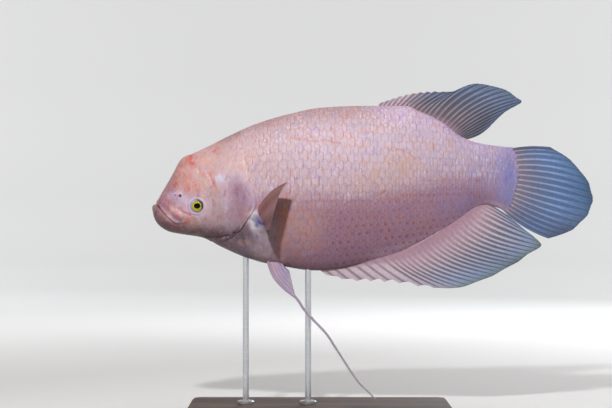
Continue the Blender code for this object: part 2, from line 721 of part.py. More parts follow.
def build_fins(body):
    """Adds every fin, with its root cut back to the body's surface."""
    fins = [
        side_view_fin("dorsal_fin", DORSAL_KNOTS, (0, -1), DORSAL_LEAN, DORSAL_BEND, DORSAL_RAYS, 6,
                      ray_thickness(5.0, 2.2, 0.9, 0.14), spiny_margin, 2.0, FIN_MAUVE),
        side_view_fin("anal_fin", ANAL_KNOTS, (0, 1), ANAL_LEAN, ANAL_BEND, ANAL_RAYS, 6,
                      ray_thickness(8.5, 2.2, 0.9, 0.26), spiny_margin, 2.5, FIN_MAUVE),
        side_view_fin("tail_fin", TAIL_KNOTS, (-1, 0), TAIL_LEAN, TAIL_BEND, TAIL_RAYS, 7,
                      ray_thickness(5.0, 2.4, 0.9, 0.12), soft_margin, 2.0, FIN_BLUE),
    ]
    for side, word in ((-1, "left"), (1, "right")):
        pectoral = paired_fin(f"pectoral_fin_{word}", side, PECTORAL_ROOTS, PECTORAL_BOWS, PECTORAL_TIPS,
                              PECTORAL_RAYS, 6, ray_thickness(4.0, 1.8, 0.8, 0.16), soft_margin, FIN_BROWN)
        fins.append(pectoral)
        pelvic = paired_fin(f"pelvic_fin_{word}", side, PELVIC_ROOTS, PELVIC_BOWS, PELVIC_TIPS,
                            PELVIC_RAYS, 5, ray_thickness(3.2, 1.8, 0.8, 0.2), soft_margin, FIN_MAUVE)
        combine(pelvic, [filament("filament", side)], "UNION")
        finish(pelvic, FIN_MAUVE, 0.35)
        fins.append(pelvic)
    for fin in fins:
        combine(fin, [body], "DIFFERENCE", keep_others=True)


def build_stand(body):
    """Adds the base and two rods that end against the belly."""
    stand_base()
    for name, x in ROD_X.items():
        combine(rod(name, x), [body], "DIFFERENCE", keep_others=True)


def main():
    for obj in list(bpy.data.objects):
        bpy.data.objects.remove(obj)
    build_body()
    swollen = body_object("swollen_body", trunk_relief, GAP)
    build_fins(swollen)
    build_stand(swollen)
    bpy.data.objects.remove(swollen)


main()
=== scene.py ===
"""Looks of the albino giant gourami: skin, scales, fins, eyes, stand finish, floor, light and camera.

Fish coordinates, in millimetres, are those of the solids: x runs from the front of the lower lip to
the tail, z up from the level of that lip and y away from the viewer, so the fish's left side, at -y,
faces the camera. Colours are named as they look, from 0 to 255.
"""

import math
from collections import namedtuple

import bpy
import numpy as np
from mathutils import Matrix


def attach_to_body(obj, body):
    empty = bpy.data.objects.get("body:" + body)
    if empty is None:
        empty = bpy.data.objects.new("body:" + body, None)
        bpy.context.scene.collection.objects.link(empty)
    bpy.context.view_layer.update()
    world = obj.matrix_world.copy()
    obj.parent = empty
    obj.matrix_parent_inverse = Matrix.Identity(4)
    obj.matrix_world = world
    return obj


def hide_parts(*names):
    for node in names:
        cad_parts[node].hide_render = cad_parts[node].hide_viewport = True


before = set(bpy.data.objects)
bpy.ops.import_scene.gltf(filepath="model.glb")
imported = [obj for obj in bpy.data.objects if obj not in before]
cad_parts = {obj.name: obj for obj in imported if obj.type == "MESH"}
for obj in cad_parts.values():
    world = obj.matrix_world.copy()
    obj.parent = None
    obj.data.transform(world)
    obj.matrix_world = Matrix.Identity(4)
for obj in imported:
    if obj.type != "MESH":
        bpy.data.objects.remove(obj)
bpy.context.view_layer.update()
MM = 0.001
SIDES = ((-1, "left"), (1, "right"))  # sign of y, and word for names

# Shape of the body, as in the solids.
BODY_LENGTH = 468.0
LIP_Z = 4.5
BACK_LINE = [
    (0, 5.5), (1, 8), (3, 9.6), (5.5, 10.6), (7, 14.5), (9, 19), (13, 26), (21.5, 40.5), (29.5, 55),
    (35, 65.5), (42, 72.5), (52, 76), (64, 81.4), (97, 97.6), (134, 114), (175, 126.5), (219, 135.5),
    (270, 138), (330, 138), (347, 131.5), (377, 117.2), (404, 97.5), (422, 91), (451, 86), (468, 84.5),
]
BELLY_LINE = [
    (0, 3.5), (0.7, 0), (2, -6), (4.3, -11.5), (11, -19.5), (23, -26), (36, -28.8), (64, -33),
    (90, -45.7), (117, -57.7), (144, -66), (175, -71.5), (212, -76), (236, -74.5), (290, -63.8),
    (322, -55.8), (345, -45), (395, -16), (411, -3), (425, 7), (437, 9.5), (447, 7.5), (468, 2),
]
HALF_WIDTH = [
    (0, 0.5), (1, 7.5), (3, 12.5), (6, 16.5), (10, 19.5), (20, 24), (40, 28.5), (60, 31), (100, 36),
    (130, 39), (165, 40.5), (205, 40.5), (250, 38), (300, 33), (345, 26.5), (385, 19.5), (420, 13.5),
    (445, 9.5), (468, 5.5),
]
WAIST_LINE = [
    (0, 4.5), (4, 1), (25, 0), (50, 4), (100, 15), (140, 25), (200, 34), (320, 42), (430, 48), (468, 43),
]
TOP_ROUNDNESS = [(0, 2.0), (40, 2.2), (90, 1.9), (200, 1.9), (468, 2.0)]
BELLY_ROUNDNESS = [
    (0, 2.0), (40, 2.2), (100, 1.9), (190, 1.8), (260, 1.55), (330, 1.4), (400, 1.5), (430, 1.9), (468, 2.6),
]
TAIL_BASE_SLANT = 8.0
TAIL_BASE_SLANT_TOP = 22.0
TAIL_BASE_SLANT_START = 430.0
SWAY_START, SWAY_END, SWAY = 250.0, 573.0, 20.0  # the tail bends away from the viewer
BASE_CENTRE_X = 218.0
LIP_HEIGHT = 263.2
STALK_THINNING = 0.52  # the stalk's end runs out onto the root of the tail fin
STALK_THINS_FROM, FIN_SCALES_END = 456.0, 478.0

# Lines of the head in side view.
MOUTH_LINE = [
    (6.2, 10.4), (9.6, 5.9), (14.3, 0.4), (20.4, -6), (24.8, -9.8), (28.4, -12.8), (32.2, -15),
    (36.4, -16.2), (40.2, -15.4), (43, -12.6),
]
UPPER_LIP = [
    (8.4, 13.6), (9.9, 9.4), (14.6, 3.2), (21.4, -2.6), (25.9, -6.6), (29.9, -10), (34.8, -12.4), (39.5, -12),
]
LOWER_LIP = [(3.4, 7.4), (5.6, 6), (10.5, 0.6), (17.5, -7), (24.5, -13.2), (31, -17.4), (38, -18.8)]
LIPS = [(UPPER_LIP, 1.3, 2.3), (LOWER_LIP, 0.9, 2.8)]  # with height and half width
GILL_EDGE = [
    (112, 135), (119, 88), (126, 48), (133, 30), (136.5, 14), (133, 2), (125, -9), (116, -22.5),
    (104, -32.5), (88, -38.5), (73, -38.5), (62, -40), (50, -56),
]
GILL_CENTRE = (70.0, 0.0)  # the gill edge is seen all round from here
EYE_CENTRE = (60.2, 7.6)
EYE_RADIUS = 9.6
EYE_FLATNESS = 0.65
EYE_SUNK = 3.7
NOSTRILS = [((36.4, 21.0), 1.7), ((29.5, 21.6), 1.2)]

# Skin grid.
SKIN_DEPTH = 0.45  # under the solids' surface, to leave room for the scales
HEAD_STATIONS = 165
TRUNK_STATIONS = 125
HALF_ROUND = 165
EVEN_SPREAD_X = 66.0  # the section round which the points lie evenly
HEAD_CROWDING, TRUNK_CROWDING = 1.32, 1.06  # over 1, the stations crowd towards the front
GILL_OVERLAP = 3.3  # of the gill cover's free edge over the trunk
SNOUT_END = 48.0

# Scales.
SCALE_PITCH = 10.6  # along a row, at mid-body
ROW_PITCH = 10.7
MIDDLE_ROW_Z = 40.0
SIZE_ALONG = [
    (58, 0.56), (95, 0.66), (125, 0.8), (150, 0.95), (190, 1.0), (250, 0.94), (330, 0.86), (400, 0.76),
    (435, 0.66), (452, 0.54), (468, 0.44),
]
SCALE_STEP = 0.15  # how much a scale's rear margin stands over the next scale

# Fins, as ray knots from root to tip. They are those of the solids, with a few edges refined.
ROOT_DEPTH = 3.5
DORSAL_KNOTS = [
    ((290, 137), (297, 142)), ((305, 137), (317, 149)), ((319, 137), (341, 155)),
    ((333, 136), (366, 157.3)), ((347, 130.5), (393, 157.3)), ((362, 123.5), (421, 167.5)),
    ((377, 116), (455, 161.5)), ((388, 108.5), (474, 150.5)), ((395, 103.5), (481, 143)),
    ((399.5, 100), (461, 131.5)), ((403, 97), (441, 113.5)),
]
DORSAL_LEAN = 0.55
DORSAL_BEND = [0.0, 0.0, 0.02, 0.06, 0.12, 0.16, 0.16, 0.16, 0.1, -0.04, -0.22]
ANAL_KNOTS = [
    ((213, -75), (227, -82)), ((235, -73.5), (260, -89.5)), ((258, -69.5), (291, -90.3)),
    ((280, -65.5), (322, -92.8)), ((300, -61), (361.4, -98.7)), ((313, -57.3), (387.4, -98.9)),
    ((325, -53), (407, -96.6)), ((336, -48.3), (423.8, -91)), ((347, -43), (437.5, -85.5)),
    ((357.5, -37), (450, -79.8)), ((366.6, -31.9), (461.5, -74)), ((375.7, -26), (472, -67.5)),
    ((386, -19.5), (481, -61.7)), ((396.5, -12.5), (491, -55)), ((404.3, -7), (501.3, -48.5)),
    ((412, -0.8), (507, -42)), ((418.6, 3.8), (499.2, -33)), ((425, 7.7), (486.2, -23.2)),
    ((432, 10.5), (464, -5)),
]
ANAL_LEAN = 0.24
ANAL_BEND = [0.0, 0.0, -0.02, -0.04, -0.09, -0.15, -0.2, -0.22, -0.22, -0.22, -0.22, -0.22, -0.22, -0.22,
             -0.2, -0.14, -0.04, 0.02, 0.06]
TAIL_KNOTS = [
    ((468, 82.5), (520, 85)), ((468, 72), (544, 70)), ((468, 60), (564.5, 47.5)),
    ((468, 49), (574, 29)), ((467.5, 38), (576, 12.5)), ((466.5, 28), (569.5, -3)),
    ((464.5, 19), (556, -17.5)), ((461, 11), (540, -27.8)), ((457.5, 4.5), (517, -34.6)),
]
TAIL_LEAN = 0.5
TAIL_BEND = [0.08, 0.12, 0.12, 0.08, 0.03, -0.03, -0.07, -0.1, -0.12]
PECTORAL_KNOTS = [  # at the root, the bow and the tip
    [(136, 35, 1), (139.5, 35, -4), (143.5, 35, -9.5), (147, 35, -15), (150, 34, -20)],
    [(154, 52, 31), (152, 58, 17), (150, 60, 4), (149, 58, -11), (147, 54, -24)],
    [(176.5, 72, 37.7), (169.5, 81, 28), (163.5, 83, 12), (158.5, 77, -6), (155, 74, -21)],
]
PELVIC_KNOTS = [
    [(151.5, 7, -60), (157, 7.5, -61.5), (163, 8, -63), (169, 8, -65)],
    [(156.5, 9.6, -92), (164, 10, -86), (167, 10, -80), (172, 9.5, -72)],
    [(188, 12.5, -113), (184, 12, -101), (181, 11.5, -88), (178.5, 11, -77)],
]
FILAMENT_PATH = [
    (151, 7, -60), (154, 8, -73), (160.5, 9.5, -86.5), (173, 11, -100), (187, 12.5, -111), (198, 13, -127),
    (212, 13.5, -142.5), (226, 14, -157.5), (237, 14, -174), (248, 13.5, -191), (258, 13, -206.5),
    (268, 12.5, -220.5), (279, 12, -231.5), (290, 11.5, -242.6),
]
RIGHT_FILAMENT_STRETCH = 1.01
FILAMENT_RADIUS = (2.2, 1.3, 0.6)  # at its root, at the fifth point of its path and at its end
FILAMENT_SIDES, FILAMENT_STEPS = 14, 220

# Camera: level, straight at the fish's left side. A pixel of the photo is 1.3 mm at the mid-plane.
CAMERA_DISTANCE = 2400.0
PIXEL = 1.3
IMAGE_WIDTH = 612
VIEW_CENTRE = (-17.8, 273.6)
VIEW_AXIS = (VIEW_CENTRE[0] + BASE_CENTRE_X, VIEW_CENTRE[1] - LIP_HEIGHT)  # as fish coordinates
SENSOR = 36.0

# Studio, in metres.
FLOOR_LINE = [  # radius and height of its rings
    (1, 0), (2, 0), (3.5, 0), (4.6, 0.05), (5.4, 0.3), (6.0, 0.8), (6.4, 1.6), (6.6, 2.8), (6.7, 4.5),
    (6.7, 7.0),
]
FLOOR_SIDES = 96
LIGHT_AIM = (0.05, 0, 0.28)

# Colours, as seen.
PALE_FLANK = (222, 198, 213)
BACK_ROSE = (192, 162, 168)
BACK_LAVENDER = (216, 192, 220)
MAUVE_FLANK = (182, 138, 156)
BELLY_MAUVE = (176, 138, 156)
FIN_FOOT = (226, 192, 212)
BREAST_PALE = (186, 172, 190)
# Grey of the breast's underside, darkened by painted shade.
SHADED_BREAST_GREY = (140, 124, 140)
STALK_LAVENDER = (162, 164, 228)
SCALE_RED = (190, 96, 110)
DOT_RED = (156, 84, 90)
FOREHEAD = (210, 168, 166)
BROW = (168, 118, 123)
SNOUT = (158, 104, 128)
LIP = (196, 140, 160)
# Mauve of the jaw, darkened by painted shade of the underside.
SHADED_JAW = (120, 76, 92)
CHEEK = (190, 164, 170)
OPERCLE = (168, 136, 166)
PALE_BLUE = (212, 198, 226)
ORANGE = (216, 132, 104)
STREAK = (206, 100, 86)
# Pale of the axil, partly its own colour and partly a painted highlight.
AXIL_WHITE_AND_HIGHLIGHT = (240, 244, 255)
AXIL_BLUE = (78, 82, 158)
# Painted shade of creases and of the gill opening.
FOLD_SHADE = (84, 58, 72)
SOCKET_GREY = (120, 104, 130)
NOSTRIL_RED = (96, 30, 44)
DOT_RING = (146, 130, 178)

rng = np.random.default_rng(7)


def hermite(xs, ys, slopes):
    """A function through the points (xs, ys) with the given slopes, held level past its ends."""
    steps = np.diff(xs)

    def value(x):
        x = np.clip(x, xs[0], xs[-1])
        i = np.clip(np.searchsorted(xs, x, side="right") - 1, 0, len(steps) - 1)
        t = (x - xs[i]) / steps[i]
        rise = ys[i + 1] - ys[i]
        start, end = slopes[i] * steps[i], slopes[i + 1] * steps[i]
        return ys[i] + t * (start + t * (3 * rise - 2 * start - end + t * (start + end - 2 * rise)))

    return value


def even_slopes(xs, ys):
    """Slopes for a curve that doesn't overshoot between its points."""
    steps, rises = np.diff(xs), np.diff(ys)
    secants = rises / steps
    slopes = np.zeros_like(ys)
    slopes[0], slopes[-1] = secants[0], secants[-1]
    for i in range(1, len(xs) - 1):
        before, after = secants[i - 1], secants[i]
        if before * after > 0:
            near, far = 2 * steps[i] + steps[i - 1], steps[i] + 2 * steps[i - 1]
            slopes[i] = (near + far) / (near / before + far / after)
    return slopes


def profile(points):
    """Smooth function of distance behind the lip. Working on its square root rounds the front."""
    xs, ys = np.array(points, float).T
    xs = np.sqrt(xs)
    value = hermite(xs, ys, even_slopes(xs, ys))
    return lambda x: value(np.sqrt(np.maximum(x, 0)))


def spline(points):
    """Smooth curve through points of any dimension, for a parameter from 0 to 1."""
    points = np.array(points, float)
    points = points.reshape(len(points), -1)
    ts = np.linspace(0, 1, len(points))
    slopes = np.gradient(points, ts, axis=0)
    parts = [hermite(ts, points[:, k], slopes[:, k]) for k in range(points.shape[1])]
    return lambda t: np.stack([part(t) for part in parts], axis=-1)


back, belly, half_width, waist = map(profile, (BACK_LINE, BELLY_LINE, HALF_WIDTH, WAIST_LINE))
top_roundness, belly_roundness = profile(TOP_ROUNDNESS), profile(BELLY_ROUNDNESS)


def steps_of(pairs):
    """Straight-line function through (x, value) pairs."""
    xs, ys = np.array(pairs, float).T
    return lambda x: np.interp(x, xs, ys)


def half_shape(x, upper):
    """Reach of the body's upper or lower half from the waist line, and its roundness."""
    reach = np.where(upper, back(x) - waist(x), waist(x) - belly(x))
    return reach, np.where(upper, top_roundness(x), belly_roundness(x))


def surface_out(x, z):
    """Distance of the plain body surface from the mid-plane, at a point of the side view."""
    reach, roundness = half_shape(x, z > waist(x))
    share = np.clip(np.abs(z - waist(x)) / reach, 0, 1)
    return half_width(x) * (1 - share**roundness) ** (1 / roundness)


def bump(x, z, centre, size, turn=0.0):
    """A smooth hill of height 1, with its two half sizes and its tilt in degrees."""
    c, s = math.cos(math.radians(turn)), math.sin(math.radians(turn))
    along = (x - centre[0]) * c + (z - centre[1]) * s
    across = (z - centre[1]) * c - (x - centre[0]) * s
    return np.exp(-((along / size[0]) ** 2) - (across / size[1]) ** 2)


def hill(offset, width):
    """1 where the offset is 0, falling off smoothly on both sides of it."""
    return np.exp(-((offset / width) ** 2))


def smooth_step(value):
    """Smooth rise from 0 to 1 while the value goes from 0 to 1."""
    value = np.clip(value, 0, 1)
    return value * value * (3 - 2 * value)


def stacked(*parts):
    """Values side by side along a last axis, once they are brought to one shape."""
    return np.stack(np.broadcast_arrays(*parts), axis=-1)


def unit(vectors):
    return vectors / np.linalg.norm(vectors, axis=-1, keepdims=True)


def turns_round(sides):
    """Angles of the corners of a ring."""
    return np.linspace(0, 2 * math.pi, sides, endpoint=False)


def sway(x):
    """How far the tail bends away from the viewer there."""
    return SWAY * np.clip((x - SWAY_START) / (SWAY_END - SWAY_START), 0, None) ** 2


def placed(points):
    """World coordinates, in metres, of points (x, y, z) of the fish."""
    moved = np.array(points, float)
    moved[..., 1] += sway(moved[..., 0])
    moved[..., 0] -= BASE_CENTRE_X
    moved[..., 2] += LIP_HEIGHT
    return moved * MM


def section(x, angle):
    """Point of the plain body at distance x behind the lip, angle round from the back."""
    rise, out = np.cos(angle), np.sin(angle)
    reach, roundness = half_shape(x, rise > 0)
    power = 2 / roundness
    z = waist(x) + np.sign(rise) * reach * np.abs(rise) ** power
    y = half_width(x) * np.sign(out) * np.abs(out) ** power
    y = y * (1 - STALK_THINNING * smooth_step((x - STALK_THINS_FROM) / (FIN_SCALES_END - STALK_THINS_FROM)))
    low = smooth_step((TAIL_BASE_SLANT_TOP - z) / TAIL_BASE_SLANT_TOP)
    aft = smooth_step((x - TAIL_BASE_SLANT_START) / (BODY_LENGTH - TAIL_BASE_SLANT_START))
    return np.stack([x - TAIL_BASE_SLANT * low * aft, y, z], axis=-1)


def outward(x, angle):
    """Unit normal of the plain body there."""
    ahead, turn = np.maximum(0.02 * x, 0.05), 0.02
    along = section(x + ahead, angle) - section(x - 0.5 * ahead, angle)
    around = section(x, angle + turn) - section(x, angle - turn)
    return unit(np.cross(along, around))


def traced(x, z):
    """Where a place on the left side is seen in the plane in which the photo was measured, the
    mid-plane. The flank is nearer to the camera, so it is seen a little larger."""
    nearer = CAMERA_DISTANCE / (CAMERA_DISTANCE - surface_out(x, z))
    return VIEW_AXIS[0] + (x - VIEW_AXIS[0]) * nearer, VIEW_AXIS[1] + (z - VIEW_AXIS[1]) * nearer


# Swellings: height, centre, half sizes and tilt.
JAW_CORNER = (1.6, (40, -6), (9, 6), -35)
CHEEK_SWELLING = (1.8, (76, -10), (22, 18), 0)
PECTORAL_SWELLING = (2.0, (143, -9), (9, 12), 0)
MOUTH_CORNER = (1.4, (35.5, -7.5), (7, 4.6), -38)
GILL_COVER_RISE = 2.0  # all over the cover


def swelling(x, z, row):
    height, *place = row
    return height * bump(x, z, *place)


def head_relief(x, z):
    """How far the head stands out from the plain body."""
    inside = smooth_step((x - 99) / 25) * smooth_step((62 - z) / 25) * smooth_step((z + 60) / 20)
    return swelling(x, z, JAW_CORNER) + swelling(x, z, CHEEK_SWELLING) + GILL_COVER_RISE * inside


def trunk_relief(x, z):
    """How far the trunk stands out from the plain body."""
    return swelling(x, z, PECTORAL_SWELLING)


GILL_SAMPLES = 200
NO_GILL_EDGE = 1e3  # its distance towards the snout, where the edge is open


def gill_share(x, z):
    """Distance from the gill centre as a share of the gill edge's: 1 on the edge, less on the head."""
    edge = spline(GILL_EDGE)(np.linspace(0, 1, GILL_SAMPLES))[::-1] - GILL_CENTRE
    turns, reach = np.arctan2(edge[:, 1], edge[:, 0]), np.hypot(edge[:, 0], edge[:, 1])
    dx, dz = x - GILL_CENTRE[0], z - GILL_CENTRE[1]
    turn = np.arctan2(dz, dx)
    far = np.interp(turn, turns, reach)
    far = np.where((turn > turns[-1]) | (turn < turns[0]), NO_GILL_EDGE, far)
    return np.hypot(dx, dz) / far


LINE_SAMPLES = 80
LINE_REACH = 12.0  # no line is felt from further off
FAR_FROM_LINE = 99.0


def distance_to(x, z, line):
    """Distance in side view to a smooth line, and how far along it the nearest point is."""
    points = spline(line)(np.linspace(0, 1, LINE_SAMPLES))
    lowest, highest = points.min(axis=0) - LINE_REACH, points.max(axis=0) + LINE_REACH
    near = (x > lowest[0]) & (x < highest[0]) & (z > lowest[1]) & (z < highest[1])
    distance, along = np.full(np.shape(x), FAR_FROM_LINE), np.zeros(np.shape(x))
    gaps = np.hypot(x[near][:, None] - points[:, 0], z[near][:, None] - points[:, 1])
    nearest = gaps.argmin(axis=1)
    distance[near] = gaps[np.arange(len(nearest)), nearest]
    along[near] = nearest / (LINE_SAMPLES - 1)
    return distance, along


def stroke(x, z, line, width, fade=0.15):
    """1 along a line in side view, falling off to its sides and towards its ends."""
    distance, along = distance_to(x, z, line)
    ends = smooth_step(along / fade + 0.05) * smooth_step((1 - along) / fade + 0.05)
    return hill(distance, width) * ends


# Lobes beside the mouth: line in side view, height and half width.
LOBES = [
    ([(12, 18), (17, 10.5), (24, 3), (31, -3), (37, -7)], 1.1, 4.5),
    ([(6, 0), (11, -7), (19, -15), (28, -21), (36, -24)], 0.5, 5),
]
LOBE_FADE = 0.3
# Creases of the head: line in side view, depth and half width.
CREASES = [
    ([(31.3, 5), (36, 2.6), (40.3, 0.6), (46, -2.5), (51.7, -5.2)], 0.9, 1.1),
    ([(42, -0.6), (42.6, -4), (42.4, -8), (40.6, -11.8)], 0.7, 1.1),
    ([(11, 23), (22, 19.5), (31, 14), (37, 9)], 0.35, 2.4),
    ([(93, 60), (97.5, 40), (98.5, 15), (96, -8), (88, -24), (74, -31)], 0.5, 1.7),
    ([(60, -30), (78, -33), (92, -32.5), (103, -29.5), (112, -24)], 1.7, 1.3),
    ([(52, 73), (53.5, 66), (56, 58)], 0.6, 1.6),
    ([(72, 54), (78, 42), (86, 28), (89, 18)], 0.35, 1.8),
    ([(67.5, 3), (64, -2.5), (57, -4.5), (50, -1.5)], 0.3, 0.9),
    ([(68.5, 12), (64.5, 17.5), (57.5, 19), (51, 15.5)], 0.3, 0.9),
    ([(108, 46), (120, 34), (124, 16), (121, 0), (112, -14)], 0.3, 1.5),
]


def eye_reach(x, z):
    """Distance in side view from the middle of the eye."""
    return np.hypot(x - EYE_CENTRE[0], z - EYE_CENTRE[1])


NOSTRIL_RIM, NOSTRIL_DEPTH = 0.35, 2.4
EYE_RINGS = [(0.3, 9.6, 1.6), (-0.2, 12.6, 1.2)]  # height, radius and half width
SOCKET_DEPTH, SOCKET_RADIUS = 3.6, 8.6


def head_detail(x, z):
    """Creases, nostrils and eye socket of the head, in millimetres outwards."""
    from_eye = eye_reach(x, z)
    x, z = traced(x, z)
    height = swelling(x, z, MOUTH_CORNER)
    for line, rise, width in LOBES:
        height += rise * stroke(x, z, line, width, LOBE_FADE)
    for line, depth, width in CREASES:
        height -= depth * stroke(x, z, line, width)
    for (cx, cz), radius in NOSTRILS:
        gap = np.hypot(x - cx, z - cz)
        height += NOSTRIL_RIM * hill(gap - 1.5 * radius, 0.8)
        height -= NOSTRIL_DEPTH * smooth_step((1.15 * radius - gap) / 0.9)
    for rise, radius, width in EYE_RINGS:
        height += rise * hill(from_eye - radius, width)
    return height - SOCKET_DEPTH * smooth_step((SOCKET_RADIUS - from_eye) / 1.3)


MOUTH_SAMPLES = 260
MOUTH_DEPTH, MOUTH_FRONT_DEPTH, MOUTH_HALF_WIDTH = 1.0, 1.6, 0.8


def round_mouth(line):
    """A line of the mouth on the skin, from its right corner round the front to the left."""
    side = [(x, float(surface_out(x, z)) - SKIN_DEPTH, z) for x, z in line]
    side[0] = (side[0][0], 0, side[0][2])
    across = [(x, -out, z) for x, out, z in side[:0:-1]]
    return spline(across + side)(np.linspace(0, 1, MOUTH_SAMPLES))


def nearest_on(points, path, batch=20000):
    """Distance of each point from the path, and the share along it of the nearest place."""
    found = np.zeros(len(points), int)
    for start in range(0, len(points), batch):
        part = points[start : start + batch]
        found[start : start + batch] = ((part[:, None, :] - path[None]) ** 2).sum(axis=-1).argmin(axis=1)
    return np.linalg.norm(points - path[found], axis=1), found / (len(path) - 1)


def shape_mouth(points, normals):
    """Raises the lips and sinks the mouth line, for points of the snout, along their normals."""
    for line, height, width in LIPS:
        gap, share = nearest_on(points, round_mouth(line))
        ends = smooth_step(16 * share * (1 - share))
        points = points + normals * (height * ends * hill(gap, width))[:, None]
    gap, share = nearest_on(points, round_mouth(MOUTH_LINE))
    ends = smooth_step(14 * share * (1 - share))
    depth = MOUTH_DEPTH + MOUTH_FRONT_DEPTH * hill(share - 0.5, 0.2)
    return points - normals * (depth * ends * hill(gap, MOUTH_HALF_WIDTH))[:, None]


def linear(colour):
    """A colour as seen, 0 to 255, as linear light."""
    share = np.asarray(colour, float) / 255
    return np.where(share <= 0.04045, share / 12.92, ((share + 0.055) / 1.055) ** 2.4)


def blend(under, over, share):
    share = np.clip(share, 0, 1)[..., None]
    return under * (1 - share) + over * share


def paint(under, tone, share):
    """Linear colours with a tone, as seen, laid over them by a share."""
    return blend(under, linear(tone), share)


flank_line = steps_of([(120, 18), (200, 12), (290, 14), (340, 20), (400, 32), (468, 44)])

# Soft patches of colour over the ground colours: colour, centre, half sizes, tilt, strength.
TRUNK_PATCHES = [
    ((198, 152, 168), (345, 2), (80, 36), 0, 0.7),
    ((212, 184, 188), (150, 74), (60, 44), 0, 0.6),
    ((206, 164, 164), (194, -16), (34, 32), 0, 0.85),
    # Painted shadow colour: a warm tone where the pectoral fin's shadow falls on the flank, so that shadow
    # looks brown.
    ((232, 154, 116), (169.5, -14), (6.5, 34), -7, 0.9),
    (BREAST_PALE, (138, -32), (26, 26), -40, 0.95),
    # Painted shade: darker next to the gill edge and down the breast's underside, over the breast's own grey.
    ((76, 66, 80), (117, -31), (17, 14), 0, 0.85),
    (SHADED_BREAST_GREY, (108, -48), (34, 14), -24, 0.9),
    (STALK_LAVENDER, (468, 42), (20, 60), 0, 1.0),
    (STALK_LAVENDER, (428, 60), (34, 34), 0, 0.4),
    (STALK_LAVENDER, (400, 10), (34, 24), 20, 0.4),
    ((226, 206, 236), (352, 118), (60, 22), -28, 0.5),
    ((236, 216, 232), (262, 88), (80, 26), 0, 0.6),
    ((228, 192, 180), (324, 62), (22, 15), -10, 0.7),
    ((228, 194, 182), (285, 40), (24, 13), 10, 0.6),
    ((232, 190, 178), (108, 66), (30, 24), 20, 0.5),
    # Round the pectoral's root, the pale band and the white spot are partly the axil's own pale colour and
    # partly a painted highlight. The blue is the axil's own colour.
    (AXIL_WHITE_AND_HIGHLIGHT, (132.5, -16), (12.5, 5.2), -48, 1.0),
    (AXIL_BLUE, (139, -12.5), (12, 4.6), -49, 1.0),
    ((250, 250, 255), (131, -1), (6, 5.5), -30, 1.0),
    # Painted shadow under the root of the pectoral fin.
    ((70, 52, 62), (147, -25), (4, 5), 0, 0.7),
    ((216, 206, 216), (146, -56), (14, 8), -20, 0.6),
    # Painted shade along the back's top edge.
    ((178, 132, 134), (146, 116), (30, 6), 20, 0.4),
]
HEAD_PATCHES = [
    (BROW, (32, 46), (22, 36), 35, 0.9),
    (CHEEK, (84, 2), (34, 32), 0, 0.9),
    ((192, 170, 182), (90, -14), (26, 16), 0, 0.6),
    (SNOUT, (18, 18), (20, 24), 0, 0.95),
    (LIP, (28, -4), (12, 8), -38, 0.8),
    # The jaw's own mauve, darkened by painted shade of the head's underside.
    (SHADED_JAW, (18, -18), (26, 13), -14, 1.0),
    (SHADED_JAW, (56, -32), (30, 9), -8, 0.9),
    # Painted shade in the folds of the throat and under it.
    ((96, 72, 82), (88, -30), (42, 8.5), -4, 0.85),
    ((76, 56, 68), (110, -29), (22, 8), 24, 0.75),
    ((120, 92, 104), (100, -23), (40, 5), 0, 0.35),
    ((96, 56, 76), (4, -2), (8, 12), 0, 0.5),
    # Painted shade along the nape's top edge.
    ((152, 106, 104), (106, 101), (32, 6), 27, 0.45),
    ((120, 70, 88), (2, 4), (9, 15), 0, 0.8),
    ((150, 96, 96), (30, -18), (9, 5), -20, 0.6),
    (ORANGE, (38, 52), (14, 14), 40, 0.35),
    (ORANGE, (46, 34), (13, 11), 0, 0.45),
    (ORANGE, (30, 2), (9, 5), -40, 0.35),
    (PALE_BLUE, (45, 12), (15, 6), -52, 0.95),
    (PALE_BLUE, (58.5, 7.5), (13, 13), 0, 0.95),
    (PALE_BLUE, (33, 22), (10, 6), 10, 0.7),
    (PALE_BLUE, (93, 44), (9, 7), 20, 0.85),
    ((230, 228, 244), (87, 45), (6, 5.5), 0, 0.8),
    (PALE_BLUE, (97, 12), (4, 38), 4, 0.5),
    (OPERCLE, (114, 26), (13, 20), 14, 1.0),
    (OPERCLE, (112, 2), (12, 16), 0, 0.4),
    (PALE_BLUE, (129, 14), (4, 14), 6, 0.6),
    (ORANGE, (45, -13), (5.5, 4), 0, 0.7),
]
# Fine lines of colour: colour, line in side view, half width, strength.
TRUNK_STROKES = [
    ((126, 88, 110), [(296, -57), (331, -46), (357, -35), (379, -24), (400, -10), (422, 5)], 2.4, 0.5),
    (SCALE_RED, [(190, 14.3), (240, 14.6), (296, 14.3)], 1.0, 0.5),
    (SCALE_RED, [(321, 22), (380, 22.4), (432, 22)], 1.0, 0.5),
    (SCALE_RED, [(355, 29.5), (390, 29.8), (425, 30.5)], 1.0, 0.4),
    (SCALE_RED, [(350, 41), (390, 41.5), (434, 42)], 1.0, 0.35),
    (STREAK, [(176, 98), (206, 92.5), (224, 93), (252, 88.5)], 1.1, 0.6),
    (STREAK, [(199, 106), (206, 99), (212, 92)], 1.1, 0.5),
    (STREAK, [(291, 21), (296, 24), (304, 29)], 1.0, 0.6),
    ((208, 130, 150), [(304, 78), (325, 80.5), (346, 67)], 1.2, 0.5),
    (STREAK, [(232, 110), (238, 98), (240, 86)], 1.0, 0.3),
    (STREAK, [(270, 120), (276, 108), (290, 100)], 1.0, 0.3),
]
